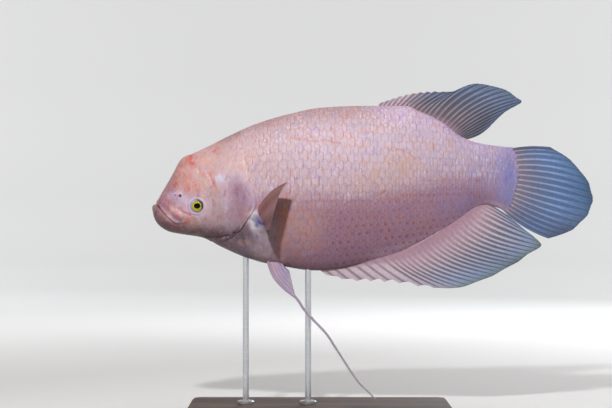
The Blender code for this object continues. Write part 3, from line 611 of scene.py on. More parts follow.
HEAD_STROKES = [
    (STREAK, [(49.5, 76), (51, 68), (54.5, 60)], 2.6, 0.95),
    (STREAK, [(46, 72), (49, 66), (53, 61)], 1.6, 0.5),
    (STREAK, [(42, 47), (44, 39), (47, 31), (50, 27)], 2.2, 0.6),
    (STREAK, [(32, 38), (35, 32), (41, 27), (47, 24)], 2.0, 0.4),
    (STREAK, [(56, 38), (59, 30), (63, 25)], 2.0, 0.5),
    (STREAK, [(36, 56), (37, 48), (40, 40)], 1.8, 0.3),
    (STREAK, [(48, 54), (49, 46), (54, 38)], 1.6, 0.3),
    (STREAK, [(60, 62), (62, 54), (66, 47)], 1.8, 0.3),
    (STREAK, [(28, 44), (29, 37), (33, 31)], 1.6, 0.25),
    ((226, 150, 130), [(58, 72), (66, 66), (76, 64)], 2.4, 0.3),
    ((214, 180, 196), [(62, 84), (70, 78), (82, 76)], 2.6, 0.35),
    (STREAK, [(72, 54), (78, 42), (86, 28)], 1.8, 0.55),
    (STREAK, [(38, 1.4), (44, -1.6), (52, -5.4)], 1.3, 0.9),
    ((214, 190, 226), [(17, 26), (24, 21), (31, 16), (38, 9)], 2.2, 0.4),
    # Painted shade in the mouth's slit at the front and under the upper lip's overhang, then a painted
    # highlight on the upper lip's moist lower edge.
    ((96, 44, 56), MOUTH_LINE[:3], 1.3, 0.95),
    ((128, 70, 86), [(x - 0.5, z - 1.4) for x, z in MOUTH_LINE[2:8]], 1.6, 0.7),
    ((238, 210, 236), [(17.7, -2), (22.2, -6), (26.2, -9.2), (30.8, -12), (35.5, -13.4), (39, -12.6)],
     1.5, 0.9),
    ((212, 186, 212), [(30.6, -11.6), (36, -13), (40, -11.6), (41, -8)], 1.6, 0.6),
    (PALE_BLUE, [(93, 60), (96, 40), (97, 15), (95, -8)], 1.6, 0.5),
    # Painted shade in the lower fold of the gill cover.
    (FOLD_SHADE, [(60, -30.5), (78, -33.5), (92, -33), (103, -30), (112, -24.5)], 1.8, 1.0),
    ((170, 120, 160), [(121, 34), (127, 22), (129, 10), (126, -2)], 1.6, 0.35),
]


# Waves that shift the markings: height, turns along and up, and start.
WAVES_ALONG = [(1.0, 0.31, 0.17, 1.0), (0.6, -0.43, 0.57, 0.0), (0.4, 0.9, 0.7, 0.0)]
WAVES_UP = [(1.0, -0.23, 0.27, 0.0), (0.6, 0.61, 0.37, 0.0), (0.4, -1.1, 0.8, 0.0)]


def wander(x, z, reach):
    """A place shifted a little here and there, so that no marking has a drawn outline."""
    shifts = [
        sum(height * np.sin(a * x + b * z + start) for height, a, b, start in waves)
        for waves in (WAVES_ALONG, WAVES_UP)
    ]
    return x + reach * shifts[0], z + reach * shifts[1]


def marked(colour, x, z, patches, strokes, reaches):
    """Patches and lines over the ground colours. Their places wander by the two reaches."""
    place = wander(x, z, reaches[0])
    for tone, centre, size, turn, strength in patches:
        colour = paint(colour, tone, strength * bump(*place, centre, size, turn))
    place = wander(x, z, reaches[1])
    for tone, line, width, strength in strokes:
        colour = paint(colour, tone, strength * stroke(*place, line, width))
    return colour


def trunk_colour(x, z):
    """Colour of the trunk and tail stalk. height is 0 at the belly and 1 at the back."""
    height = (z - belly(x)) / (back(x) - belly(x))
    x, z = traced(x, z)
    # Pale above the flank line and mauve below: partly the flank's own colours, partly painted shade of the
    # lower flank.
    softness = 46 + 0.1 * np.clip(x - 300, 0, 140)
    pale = smooth_step((z - flank_line(x)) / softness + 0.42)
    colour = blend(linear(MAUVE_FLANK), linear(PALE_FLANK), pale)
    colour = paint(colour, BELLY_MAUVE, smooth_step((0.16 - height) / 0.16))
    colour = paint(colour, FIN_FOOT, smooth_step((0.1 - height) / 0.07) * smooth_step((x - 262) / 60))
    rose = blend(linear(BACK_ROSE), linear(BACK_LAVENDER), smooth_step((x - 250) / 90))
    colour = blend(colour, rose, smooth_step((height - 0.8) / 0.2))
    return marked(colour, x, z, TRUNK_PATCHES, TRUNK_STROKES, (1.5, 0.5))


def head_colour(x, z):
    """Colour of the head."""
    from_eye = eye_reach(x, z)
    colour = trunk_colour(x, z)
    x, z = traced(x, z)
    colour = paint(colour, FOREHEAD, smooth_step((112 - x) / 40))
    colour = marked(colour, x, z, HEAD_PATCHES, HEAD_STROKES, (1.0, 0.4))
    colour = paint(colour, SOCKET_GREY, 0.8 * smooth_step((9.2 - from_eye) / 1.4))
    for ((cx, cz), radius), strength in zip(NOSTRILS, (1.0, 0.45)):
        pit = smooth_step((1.4 * radius - np.hypot(x - cx, z - cz)) / 0.9)
        colour = paint(colour, NOSTRIL_RED, strength * pit)
    return colour


def skin_colour(x, z, on_head):
    return np.where(on_head[..., None], head_colour(x, z), trunk_colour(x, z))


# Meshes

def new_object(name, data):
    obj = bpy.data.objects.new(name, data)
    bpy.context.scene.collection.objects.link(obj)
    return obj


def new_piece(name, points, faces, material, attributes=None, bake=None):
    """A smooth mesh from arrays. faces is a list of arrays of quads or triangles; attributes are
    vectors by name, with tint as a colour, and bake the OFBake places, all for each point."""
    mesh = bpy.data.meshes.new(name)
    points = np.asarray(points, np.float32).reshape(-1, 3)
    corners = np.concatenate([part.ravel() for part in faces]).astype(np.int32)
    sizes = np.concatenate([np.full(len(part), part.shape[1]) for part in faces]).astype(np.int32)
    mesh.vertices.add(len(points))
    mesh.vertices.foreach_set("co", points.ravel())
    mesh.loops.add(len(corners))
    mesh.loops.foreach_set("vertex_index", corners)
    mesh.polygons.add(len(sizes))
    mesh.polygons.foreach_set("loop_start", np.concatenate([[0], np.cumsum(sizes)[:-1]]).astype(np.int32))
    mesh.polygons.foreach_set("loop_total", sizes)
    mesh.update(calc_edges=True)
    mesh.validate()
    for key, values in (attributes or {}).items():
        values = np.asarray(values, np.float32).reshape(len(points), 3)
        kind, field = "FLOAT_VECTOR", "vector"
        if key == "tint":
            kind, field = "FLOAT_COLOR", "color"
            values = np.concatenate([values, np.ones((len(points), 1), np.float32)], axis=1)
        mesh.attributes.new(key, kind, "POINT").data.foreach_set(field, values.ravel())
    if bake is not None:
        layer = mesh.uv_layers.new(name="OFBake")
        layer.data.foreach_set("uv", np.asarray(bake, np.float32)[corners].ravel())
    mesh.materials.append(material)
    mesh.shade_smooth()
    return new_object(name, mesh)


def quads(rows, columns, wrap=False):
    """Faces of a grid of points stored row by row."""
    i, j = np.meshgrid(np.arange(rows - 1), np.arange(columns if wrap else columns - 1), indexing="ij")
    k = (j + 1) % columns
    corners = [i * columns + j, i * columns + k, (i + 1) * columns + k, (i + 1) * columns + j]
    return np.stack(corners, axis=-1).reshape(-1, 4)


def fan(tip, ring):
    """Triangles from one point to a closed ring of points."""
    return stacked(tip, np.roll(ring, -1), ring)


def closed_tube(rows, columns):
    """Faces of a grid of rings with a point at each end. The two points follow the grid's own."""
    ring, tip = np.arange(columns), rows * columns
    return [quads(rows, columns, wrap=True), fan(tip, ring), fan(tip + 1, tip - columns + ring)[:, ::-1]]


def rim_of(rows, columns):
    """The outer points of a grid, in order."""
    index = np.arange(rows * columns).reshape(rows, columns)
    return np.concatenate([index[0], index[1:, -1], index[-1, -2::-1], index[-2:0:-1, 0]])


# Materials

class Nodes:
    """A material's node tree, with short calls for the nodes used here."""

    def __init__(self, name, **settings):
        self.material = bpy.data.materials.new(name)
        self.material.use_nodes = True
        self.tree = self.material.node_tree
        self.shader = self.tree.nodes["Principled BSDF"]
        for key, value in settings.items():
            self.shader.inputs[key.replace("_", " ")].default_value = value

    def add(self, kind, inputs=(), **settings):
        node = self.tree.nodes.new("ShaderNode" + kind)
        for key, value in settings.items():
            setattr(node, key, value)
        for key, value in dict(inputs).items():
            self.put(node.inputs[key], value)
        return node

    def put(self, socket, value):
        if isinstance(value, bpy.types.NodeSocket):
            self.tree.links.new(value, socket)
        else:
            socket.default_value = value

    def read(self, name, parts=None):
        """An attribute's colour, or some of its parts."""
        node = self.add("Attribute", attribute_name=name)
        if parts is None:
            return node.outputs["Color"]
        split = self.add("SeparateXYZ", {"Vector": node.outputs["Vector"]})
        return [split.outputs[part] for part in parts]

    def place(self):
        return self.add("TexCoord").outputs["Object"]

    def noise(self, scale, detail=3.0, roughness=0.55, stretch=None):
        where = self.place()
        if stretch:
            where = self.add("Mapping", {"Vector": where, "Scale": stretch}).outputs["Vector"]
        inputs = {"Vector": where, "Scale": scale, "Detail": detail, "Roughness": roughness}
        return self.add("TexNoise", inputs).outputs["Fac"]

    def ragged(self, scale, reach):
        """Noise about 0."""
        return self.times(self.math("SUBTRACT", self.noise(scale), 0.5), reach)

    def math(self, operation, a, b=0.0):
        node = self.add("Math", operation=operation)
        self.put(node.inputs[0], a)
        self.put(node.inputs[1], b)
        return node.outputs[0]

    def times(self, product, *others):
        for other in others:
            product = self.math("MULTIPLY", product, other)
        return product

    def between(self, value, low, high, to_low=0.0, to_high=1.0):
        inputs = {"Value": value, "From Min": low, "From Max": high, "To Min": to_low, "To Max": to_high}
        return self.add("MapRange", inputs, interpolation_type="SMOOTHSTEP").outputs["Result"]

    def mix(self, share, a, b, how="MIX"):
        node = self.add("Mix", data_type="RGBA", blend_type=how, clamp_factor=True)
        self.put(node.inputs["Factor"], share)
        for key, value in (("A", a), ("B", b)):
            socket = [s for s in node.inputs if s.name == key and s.type == "RGBA"][0]
            self.put(socket, value if isinstance(value, bpy.types.NodeSocket) else rgba(value))
        return [s for s in node.outputs if s.type == "RGBA"][0]

    def bumps(self, height, distance, strength=1.0, under=None):
        inputs = {"Height": height, "Distance": distance, "Strength": strength}
        if under:
            inputs["Normal"] = under
        return self.add("Bump", inputs).outputs["Normal"]

    def finish(self, colour=None, roughness=None, normal=None):
        for key, value in (("Base Color", colour), ("Roughness", roughness), ("Normal", normal)):
            if value is not None:
                self.put(self.shader.inputs[key], value)
        return self.material


def rgba(colour):
    """A colour as seen, for a node's socket."""
    return (*(float(v) for v in linear(colour)), 1.0)


# Mottling of bare skin: noise scale and stretch, its range, most strength, colour and how it mixes.
SKIN_MOTTLES = [
    (95, None, 0.45, 0.7, 0.4, (238, 176, 160), "MULTIPLY"),
    (95, None, 0.5, 0.3, 0.35, (214, 206, 240), "MULTIPLY"),
    (62, None, 0.5, 0.66, 0.22, (228, 200, 184), "MIX"),
    (170, (1.0, 1.0, 0.4), 0.54, 0.68, 0.5, (236, 160, 146), "MULTIPLY"),
    (170, (1.0, 1.0, 0.4), 0.44, 0.3, 0.22, (232, 216, 236), "MIX"),
]


def mottled(n, colour, share=1.0):
    """A colour with the mottling of bare skin, by a share."""
    for scale, stretch, low, high, most, tone, how in SKIN_MOTTLES:
        patch = n.between(n.noise(scale, 4, 0.57, stretch), low, high, 0.0, most)
        colour = n.mix(n.times(patch, share), colour, tone, how)
    return colour


PORES, WRINKLES = (1300, 2), (260, 4)  # scale and detail of their noise
WRINKLE_DEPTH = 0.0006


def skin_material():
    """Moist skin with mottling, fine pores and wrinkles."""
    n = Nodes("gourami_skin", Coat_Weight=0.12, Coat_Roughness=0.3, Subsurface_Weight=0.08,
              Subsurface_Radius=(0.004, 0.0015, 0.001), Subsurface_Scale=1.0)
    fleck = n.between(n.noise(420), 0.52, 0.72, 0.0, 0.08)
    colour = n.mix(fleck, mottled(n, n.read("tint")), (255, 236, 236), "SCREEN")
    normal = n.bumps(n.noise(*WRINKLES), WRINKLE_DEPTH, 1.0, n.bumps(n.noise(*PORES), 0.00018))
    return n.finish(colour, n.between(n.noise(300), 0.3, 0.7, 0.42, 0.56), normal)


def scale_ground(n, strength):
    """Colour of the skin under the scale, warmer and cooler by turns where the scale stands out."""
    colour = mottled(n, n.read("tint"), n.between(strength, 0.1, 0.6, 1.0, 0.0))
    hue, full = n.noise(80), n.between(strength, 0.1, 0.6, 0.0, 0.45)
    for low, high, tone in ((0.48, 0.66, (255, 226, 206)), (0.52, 0.34, (228, 222, 250))):
        colour = n.mix(n.times(n.between(hue, low, high), full), colour, tone, "MULTIPLY")
    return colour


def scale_streaks(n, colour, margin, own, upper, strength):
    """Pale and dim streaks down the scales; the pale ones, partly a painted sheen, are stronger in some
    regions than in others.
    """
    region = n.between(n.noise(26), 0.4, 0.62, 0.25, 1.0)
    streak = n.noise(430, 3, 0.6, (1.0, 1.0, 0.24))
    # Partly the scales' own pale streaks and partly a painted sheen, near white on the upper flank.
    pale = n.times(n.between(streak, 0.5, 0.66), n.between(margin, 0.3, 1.6, 0.2, 1.0), region,
                   n.between(own, 0.0, 1.0, 0.3, 0.72), strength)
    colour = n.mix(pale, colour, n.mix(upper, (166, 150, 196), (248, 238, 250)))
    dim = n.times(n.between(streak, 0.48, 0.32, 0.0, 0.4), strength)
    return n.mix(dim, colour, (232, 184, 186), "MULTIPLY")


def scale_margins(n, colour, margin, ahead, ink, strength):
    """A soft darker rim of painted shade and a thin, patchy red line along it."""
    # Painted shade: the rim darkens towards the scale's margin.
    rim = n.times(n.between(margin, 0.2, 2.2, 0.1, 0.0), strength)
    colour = n.mix(rim, colour, (196, 140, 156), "MULTIPLY")
    rough = n.ragged(620, 1.6)
    behind = n.between(n.math("ADD", ahead, rough), 0.1, 1.4, 1.0, 0.0)
    beside = n.between(n.math("ADD", margin, rough), 0.1, 1.0, 0.6, 0.0)
    patchy = n.between(n.noise(52, 4, 0.65), 0.36, 0.64, 0.12, 1.0)
    return n.mix(n.times(n.math("MAXIMUM", behind, beside), ink, patchy), colour, SCALE_RED)


def scale_dots(n, colour, ahead, aside, dots):
    """A ragged red dot in a mauve ring on each scale of the lower flank."""
    far = n.math("POWER", n.math("DIVIDE", n.math("SUBTRACT", ahead, 3.6), 2.3), 2.0)
    wide = n.math("POWER", n.math("DIVIDE", aside, 3.2), 2.0)
    reach = n.math("ADD", n.math("ADD", far, wide), n.ragged(330, 4.0))
    for low, high, to_low, to_high, tone in ((1.0, 2.6, 0.0, 0.3, DOT_RING), (-0.4, 1.5, 1.0, 0.0, DOT_RED)):
        colour = n.mix(n.times(n.between(reach, low, high, to_low, to_high), dots), colour, tone)
    return colour


def scale_material():
    """Pale scales with a thin red margin, pale streaks, and red dots low on the flank."""
    n = Nodes("gourami_scales", Coat_Weight=0.05, Coat_Roughness=0.35, Subsurface_Weight=0.06,
              Subsurface_Radius=(0.003, 0.0012, 0.001), Subsurface_Scale=1.0)
    margin, own = n.read("lie", "XY")
    ink, dots, strength = n.read("ink", "XYZ")
    ahead, upper, aside = n.read("place", "XYZ")
    colour = scale_ground(n, strength)
    colour = scale_streaks(n, colour, margin, own, upper, strength)
    colour = scale_margins(n, colour, margin, ahead, ink, strength)
    colour = scale_dots(n, colour, ahead, aside, dots)
    normal = n.bumps(n.noise(*PORES), 0.00015)
    normal = n.bumps(n.noise(*WRINKLES), WRINKLE_DEPTH, n.between(strength, 0.1, 0.6, 1.0, 0.2), normal)
    growth_rings = n.math("SINE", n.times(margin, 17.0))
    normal = n.bumps(growth_rings, 0.00003, n.between(strength, 0.1, 0.5), normal)
    return n.finish(colour, n.between(own, 0.0, 1.0, 0.5, 0.6), normal)


def fin_material(name):
    """Fin membrane and rays: colour comes with the mesh; segments of the rays are fine bumps."""
    n = Nodes(name, Coat_Weight=0.2, Coat_Roughness=0.3, Roughness=0.4)
    crest, along = n.read("ray", "XY")
    mottle = n.times(n.between(n.noise(240, 4), 0.38, 0.7), 0.3)
    colour = n.mix(mottle, n.read("tint"), (190, 190, 214), "MULTIPLY")
    segments = n.times(n.math("SINE", n.times(along, 6.0)), crest)
    normal = n.bumps(n.noise(900), 0.00014, 1.0, n.bumps(segments, 0.00008))
    return n.finish(colour, n.between(n.noise(350), 0.3, 0.7, 0.34, 0.5), normal)


def eye_material():
    """Black pupil, yellow iris with fine spokes, and a speckled outer ring with painted shadow above and
    behind.
    """
    n = Nodes("gourami_eye", Roughness=0.14, Specular_IOR_Level=0.12)
    pupil, reach = n.read("iris", "XY")
    spokes = n.add("TexNoise", {"Scale": 5.0, "Detail": 4.0, "Vector": n.read("spokes")}).outputs["Fac"]
    aft, above = n.read("spokes", "XY")
    rough = n.ragged(620, 1.6)
    wobble = n.math("ADD", reach, rough)
    iris = n.mix(n.between(spokes, 0.35, 0.7), (204, 190, 6), (242, 232, 40))
    iris = n.mix(n.between(above, -1.0, 4.5, 0.0, 0.5), iris, (170, 158, 6))
    iris = n.mix(n.between(wobble, 5.3, 6.2, 0.0, 0.7), iris, (120, 112, 44))
    ring = n.mix(n.between(n.noise(1500), 0.4, 0.62), (122, 120, 148), (214, 208, 232))
    # Painted shadow of the socket's rim on the ring, above and behind.
    towards = n.math("ADD", n.times(aft, 0.9), n.times(above, 0.43))
    ring = n.mix(n.between(towards, 0.5, 4.0, 0.0, 0.9), ring, (52, 66, 82))
    colour = n.mix(n.between(wobble, 5.9, 6.5), iris, ring)
    edge = n.math("ADD", pupil, n.times(rough, 0.2))
    return n.finish(n.mix(n.between(edge, 3.75, 4.05), (3, 3, 4), colour))


def wood_material():
    """Dark, oiled walnut with its grain along the base."""
    n = Nodes("stand_walnut", Coat_Weight=0.05, Coat_Roughness=0.3, Specular_IOR_Level=0.25)
    warp = n.noise(3.0, 3, 0.5, (0.35, 3.0, 3.0))
    grain = n.noise(26.0, 6, 0.65, (0.12, 3.0, 3.0))
    pores = n.noise(420.0, 2, 0.5, (0.06, 2.0, 2.0))
    rings = n.math("FRACT", n.times(warp, 14.0))
    colour = n.mix(n.between(rings, 0.1, 0.9), (58, 36, 24), (98, 64, 42))
    colour = n.mix(n.between(grain, 0.35, 0.68), colour, (46, 28, 19), "MULTIPLY")
    colour = n.mix(n.between(pores, 0.6, 0.72), colour, (30, 18, 12))
    normal = n.bumps(pores, 0.0002, 0.5, n.bumps(grain, 0.0003))
    return n.finish(colour, n.between(grain, 0.3, 0.7, 0.5, 0.64), normal)


def steel_material():
    """Steel brushed round the rods."""
    n = Nodes("stand_steel", Metallic=1.0, Anisotropic=0.5)
    brushed = n.noise(700.0, 3, 0.6, (0.04, 0.04, 1.0))
    colour = n.mix(n.between(brushed, 0.3, 0.7), (192, 194, 198), (202, 204, 208))
    return n.finish(colour, n.between(brushed, 0.25, 0.75, 0.3, 0.36))


def floor_material():
    """Matt paper with a painted pool of light, a little paler round the stand."""
    n = Nodes("studio_floor", Roughness=0.7)
    reach = n.add("VectorMath", {0: n.place()}, operation="LENGTH").outputs["Value"]
    paper = n.mix(n.noise(1.2), (222, 224, 226), (228, 229, 230))
    paper = n.mix(n.between(reach, 1.4, 2.6), (242, 243, 244), n.mix(0.6, paper, (206, 208, 210)))
    return n.finish(n.mix(n.between(reach, 3.4, 5.0), paper, (222, 224, 226)))


# Skin

def arc_length(ring):
    """Distance along a line of points, from its first."""
    return np.concatenate([[0], np.cumsum(np.linalg.norm(np.diff(ring, axis=0), axis=1))])


def skin_angles():
    """Angles round a section, spread evenly over the skin of the head, for the right side."""
    fine = np.linspace(0, math.pi, 2000)
    arc = arc_length(section(np.full(fine.shape, EVEN_SPREAD_X), fine))
    return np.interp(np.linspace(0, arc[-1], HALF_ROUND + 1), arc, fine)


def gill_station(angles):
    """Distance behind the lip at which each line of the skin meets the gill edge."""
    x = np.linspace(62, 150, 700)[:, None]
    points = section(x, angles[None])
    past = gill_share(points[..., 0], points[..., 2]) > 1
    return x[np.argmax(past, axis=0), 0]


def unwrap(x, angle):
    """OFBake place: along the body by round it, the right side below the left."""
    turn = np.mod(angle, 2 * math.pi) / (2 * math.pi)
    return stacked(0.02 + 0.96 * x / BODY_LENGTH, 0.02 + 0.96 * turn)


def skin_grid():
    """Places of the skin's points along and round the body, the gill edge on each line, and whether
    they are on the head. The trunk starts just inside the free edge of the gill cover."""
    half = skin_angles()
    angles = np.concatenate([half, 2 * math.pi - half[-2:0:-1]])
    edge = gill_station(half)
    for _ in range(3):
        edge[1:-1] = (edge[:-2] + 2 * edge[1:-1] + edge[2:]) / 4
    edge = np.concatenate([edge, edge[-2:0:-1]])
    head = (np.arange(1, HEAD_STATIONS + 1) / HEAD_STATIONS)[:, None] ** HEAD_CROWDING
    trunk = (np.arange(TRUNK_STATIONS + 1) / TRUNK_STATIONS)[:, None] ** TRUNK_CROWDING
    free = smooth_step((-14 - section(edge, angles)[..., 2]) / 14)
    start = edge + 0.3 - GILL_OVERLAP * free
    x = np.concatenate([edge * head, start + (BODY_LENGTH - start) * trunk])
    on_head = np.broadcast_to(np.arange(len(x))[:, None] < HEAD_STATIONS, x.shape)
    return x, np.broadcast_to(angles, x.shape), edge, on_head


def skin_relief(x, z, behind_edge, on_head, opening):
    """How far the skin stands out from the plain body, with the groove of the gill opening."""
    relief = np.where(on_head, head_relief(x, z) + head_detail(x, z), trunk_relief(x, z))
    relief += 0.3 * opening * hill(behind_edge, 2.2) * on_head
    relief -= 1.0 * opening * np.exp(-np.abs(behind_edge) / 2.0) * ~on_head
    last = HEAD_STATIONS - 1
    relief[last] -= 0.8 * opening[last]
    return relief


def build_skin(material):
    """One skin over head, jaw, gill covers, trunk and tail stalk."""
    x, angle, edge, on_head = skin_grid()
    base, normal = section(x, angle), outward(x, angle)
    side_x, side_z = base[..., 0], base[..., 2]
    opening = smooth_step((-10 - side_z) / 14) * (0.22 + 0.78 * smooth_step((8 - side_z) / 24))
    relief = skin_relief(side_x, side_z, x - edge, on_head, opening)
    points = base + normal * (relief - SKIN_DEPTH)[..., None]
    snout = on_head & (side_x < SNOUT_END)
    points[snout] = shape_mouth(points[snout], normal[snout])
    # Painted shade darkens the skin along the gill opening, most of all low down.
    low = smooth_step((-14 - side_z) / 10)
    shade = (0.3 + 0.6 * low) * opening * np.exp(-np.abs(x - edge) / (3.0 + 2.0 * low)) * ~on_head
    colour = paint(skin_colour(side_x, side_z, on_head), FOLD_SHADE, shade)
    ends = [(SKIN_DEPTH, 0, LIP_Z), points[-1].mean(axis=0)]
    points = np.concatenate([points.reshape(-1, 3), ends])
    tint = np.concatenate([colour.reshape(-1, 3), [colour[0].mean(axis=0), colour[-1].mean(axis=0)]])
    bake = np.concatenate([unwrap(x, angle).reshape(-1, 2), [[0.02, 0.5], [0.98, 0.5]]])
    faces = [part[:, ::-1] for part in closed_tube(*x.shape)]
    return new_piece("gourami_skin", placed(points), faces, material, {"tint": tint}, bake)


# Scales

class Flank:
    """The body's surface by distance behind the lip and distance up the skin from the middle row."""

    step_along, step_up = 2.0, 1.5

    def __init__(self):
        self.xs = np.arange(40.0, FIN_SCALES_END + 0.1, self.step_along)
        self.arcs = np.arange(-190.0, 190.1, self.step_up)
        fine = np.linspace(-1.5, math.pi + 1.5, 1500)
        right = (fine > 0) & (fine < math.pi)
        table, tops, bottoms = [], [], []
        for x in self.xs:
            ring = section(np.full(fine.shape, x), fine)
            arc = -arc_length(ring)
            arc -= np.interp(-MIDDLE_ROW_Z, -ring[right][:, 2], arc[right])
            table.append(np.interp(self.arcs, arc[::-1], fine[::-1]))
            tops.append(np.interp(0, fine, arc))
            bottoms.append(np.interp(math.pi, fine, arc))
        self.table, self.tops, self.bottoms = np.array(table), np.array(tops), np.array(bottoms)

    def angle(self, x, arc):
        """Angle round the section at each place."""
        i = np.clip((x - self.xs[0]) / self.step_along, 0, len(self.xs) - 1.001)
        j = np.clip((arc - self.arcs[0]) / self.step_up, 0, len(self.arcs) - 1.001)
        a, b = i.astype(int), j.astype(int)
        u, v, t = i - a, j - b, self.table
        return ((1 - u) * (1 - v) * t[a, b] + u * (1 - v) * t[a + 1, b]
                + (1 - u) * v * t[a, b + 1] + u * v * t[a + 1, b + 1])

    def top(self, x):
        return np.interp(x, self.xs, self.tops)

    def bottom(self, x):
        return np.interp(x, self.xs, self.bottoms)


size_along = steps_of(SIZE_ALONG)
ALONG_SCALE = np.array([0, 0.3, 0.5, 0.64, 0.76, 0.86, 0.94, 0.98, 1.0])
ACROSS_SCALE = np.sin(np.linspace(-math.pi / 2, math.pi / 2, 11))
SCALE_LENGTH = 1.9  # of a scale, in pitches
SCALE_HALF_HEIGHT = 0.74  # in rows
SCALE_THICKNESS = 0.4
SCALE_MIDDLE = 4.0  # ahead of a scale's rear margin
SCALE_ROWS = 16  # above the middle row, and as many below
SCALES_START = 58.0
SCALE_PIECES_PART = 262.0  # between the front and the rear piece of a flank's scales


def scale_faces():
    """Top, rim and underside of one scale, and the order of its rim."""
    rows, columns = len(ALONG_SCALE), len(ACROSS_SCALE)
    rim = rim_of(rows, columns)
    low = rows * columns + np.arange(len(rim))
    after = np.roll(low, -1)
    skirt = stacked(rim, low, after, np.roll(rim, -1))
    return quads(rows, columns), skirt, stacked(low, low[-1] + 1, after), rim


def lay_out(flank):
    """Row, rear end and kind of every scale of one flank."""
    xs = [SCALES_START]
    while xs[-1] < FIN_SCALES_END:
        xs.append(xs[-1] + SCALE_PITCH * float(size_along(xs[-1])) / 2)
    xs = np.array(xs)
    rows = range(-SCALE_ROWS, SCALE_ROWS + 1)
    found = [(rear, row, 0) for row in rows for rear in xs[row % 2 :: 2]]
    found += [(rear, 0, ridge) for rear in xs[::2] for ridge in (1, -1)]
    rear, row, ridge = np.array(found).T
    rear = rear + rng.normal(0, 0.4, len(rear))
    arc = row_arc(flank, rear - SCALE_MIDDLE, row, ridge)
    room = np.minimum(flank.top(rear) - arc, arc - flank.bottom(rear))
    keep = (ridge != 0) | (room > 0.3 * ROW_PITCH * size_along(rear))
    return rear[keep], row[keep], ridge[keep]


def row_arc(flank, x, row, ridge):
    """Distance up the skin of a row's middle. ridge is 1 for the row on the back, -1 for the belly's."""
    rows = row * ROW_PITCH * size_along(x) + 0.8 * np.sin(0.055 * x + 1.3 * row)
    return np.where(ridge > 0, flank.top(x), np.where(ridge < 0, flank.bottom(x), rows))


def allowed(x, z, rear_share, ridge):
    """Where scales grow, as (on the head, on the trunk)."""
    r = eye_reach(x, z)
    share = gill_share(x, z)
    nape = (z > 30 + 0.25 * (100 - x)) & (x > 66)
    cheek = (x > 72) & (z > -27) & (r > 15)
    head = (rear_share < np.where(z > 40, 1.0, 0.955)) & (nape | cheek) & (ridge == 0)
    head |= (ridge > 0) & (share < 1) & (x > 66)
    axil = bump(x, z, (137, -10), (9, 12)) > 0.45
    breast = (z < -14) & (x < 150 + 0.1 * z)
    stalk_end = 475 - 0.0065 * (z - 50) ** 2
    trunk = (share > 0.98) & ~axil & ~breast & (x < stalk_end)
    return head, trunk


def scale_strength(x, z, on_head):
    """How much the scales stand out: they lie sunk in the skin on the head and beside bare skin."""
    nape = smooth_step((z - 52) / 30) * smooth_step((x - 74) / 30)
    head = 0.18 + 0.45 * nape
    bare = smooth_step((x - 158 + 0.35 * np.maximum(z, -60)) / 22 + 0.5)
    nape_end = 1 - 0.37 * (1 - smooth_step((x - 108) / 40)) * smooth_step((z - 20) / 20)
    trunk = np.where(z < 0, 0.15 + 0.85 * bare, nape_end)
    border = smooth_step((x - 70 - 0.1 * np.abs(z - 20)) / 16) * smooth_step((eye_reach(x, z) - 14) / 8)
    stalk = 1 - 0.45 * smooth_step((x - 440) / 26)
    return head * border if on_head else trunk * stalk


def build_scales(flank, side, word, material):
    """All scales of one side, as a few joined meshes. The left side has those of back and belly."""
    parts = scale_faces()
    rear, row, ridge = lay_out(flank)
    if side > 0:
        keep = ridge == 0
        rear, row, ridge = rear[keep], row[keep], ridge[keep]
    middle = rear - SCALE_MIDDLE
    arc = row_arc(flank, middle, row, ridge)
    centre, end = section(middle, flank.angle(middle, arc)), section(rear, flank.angle(rear, arc))
    head, trunk = allowed(centre[:, 0], centre[:, 2], gill_share(end[:, 0], end[:, 2]), ridge)
    trunk &= ~head
    ahead = rear <= SCALE_PIECES_PART
    pieces = []
    for part, group in (("head", head), ("front", trunk & ahead), ("rear", trunk & ~ahead)):
        grid = ScaleGrid(flank, part == "head", rear[group], row[group], ridge[group])
        pieces.append(scale_piece(f"scales_{part}_{word}", grid, side, material, parts))
    return pieces


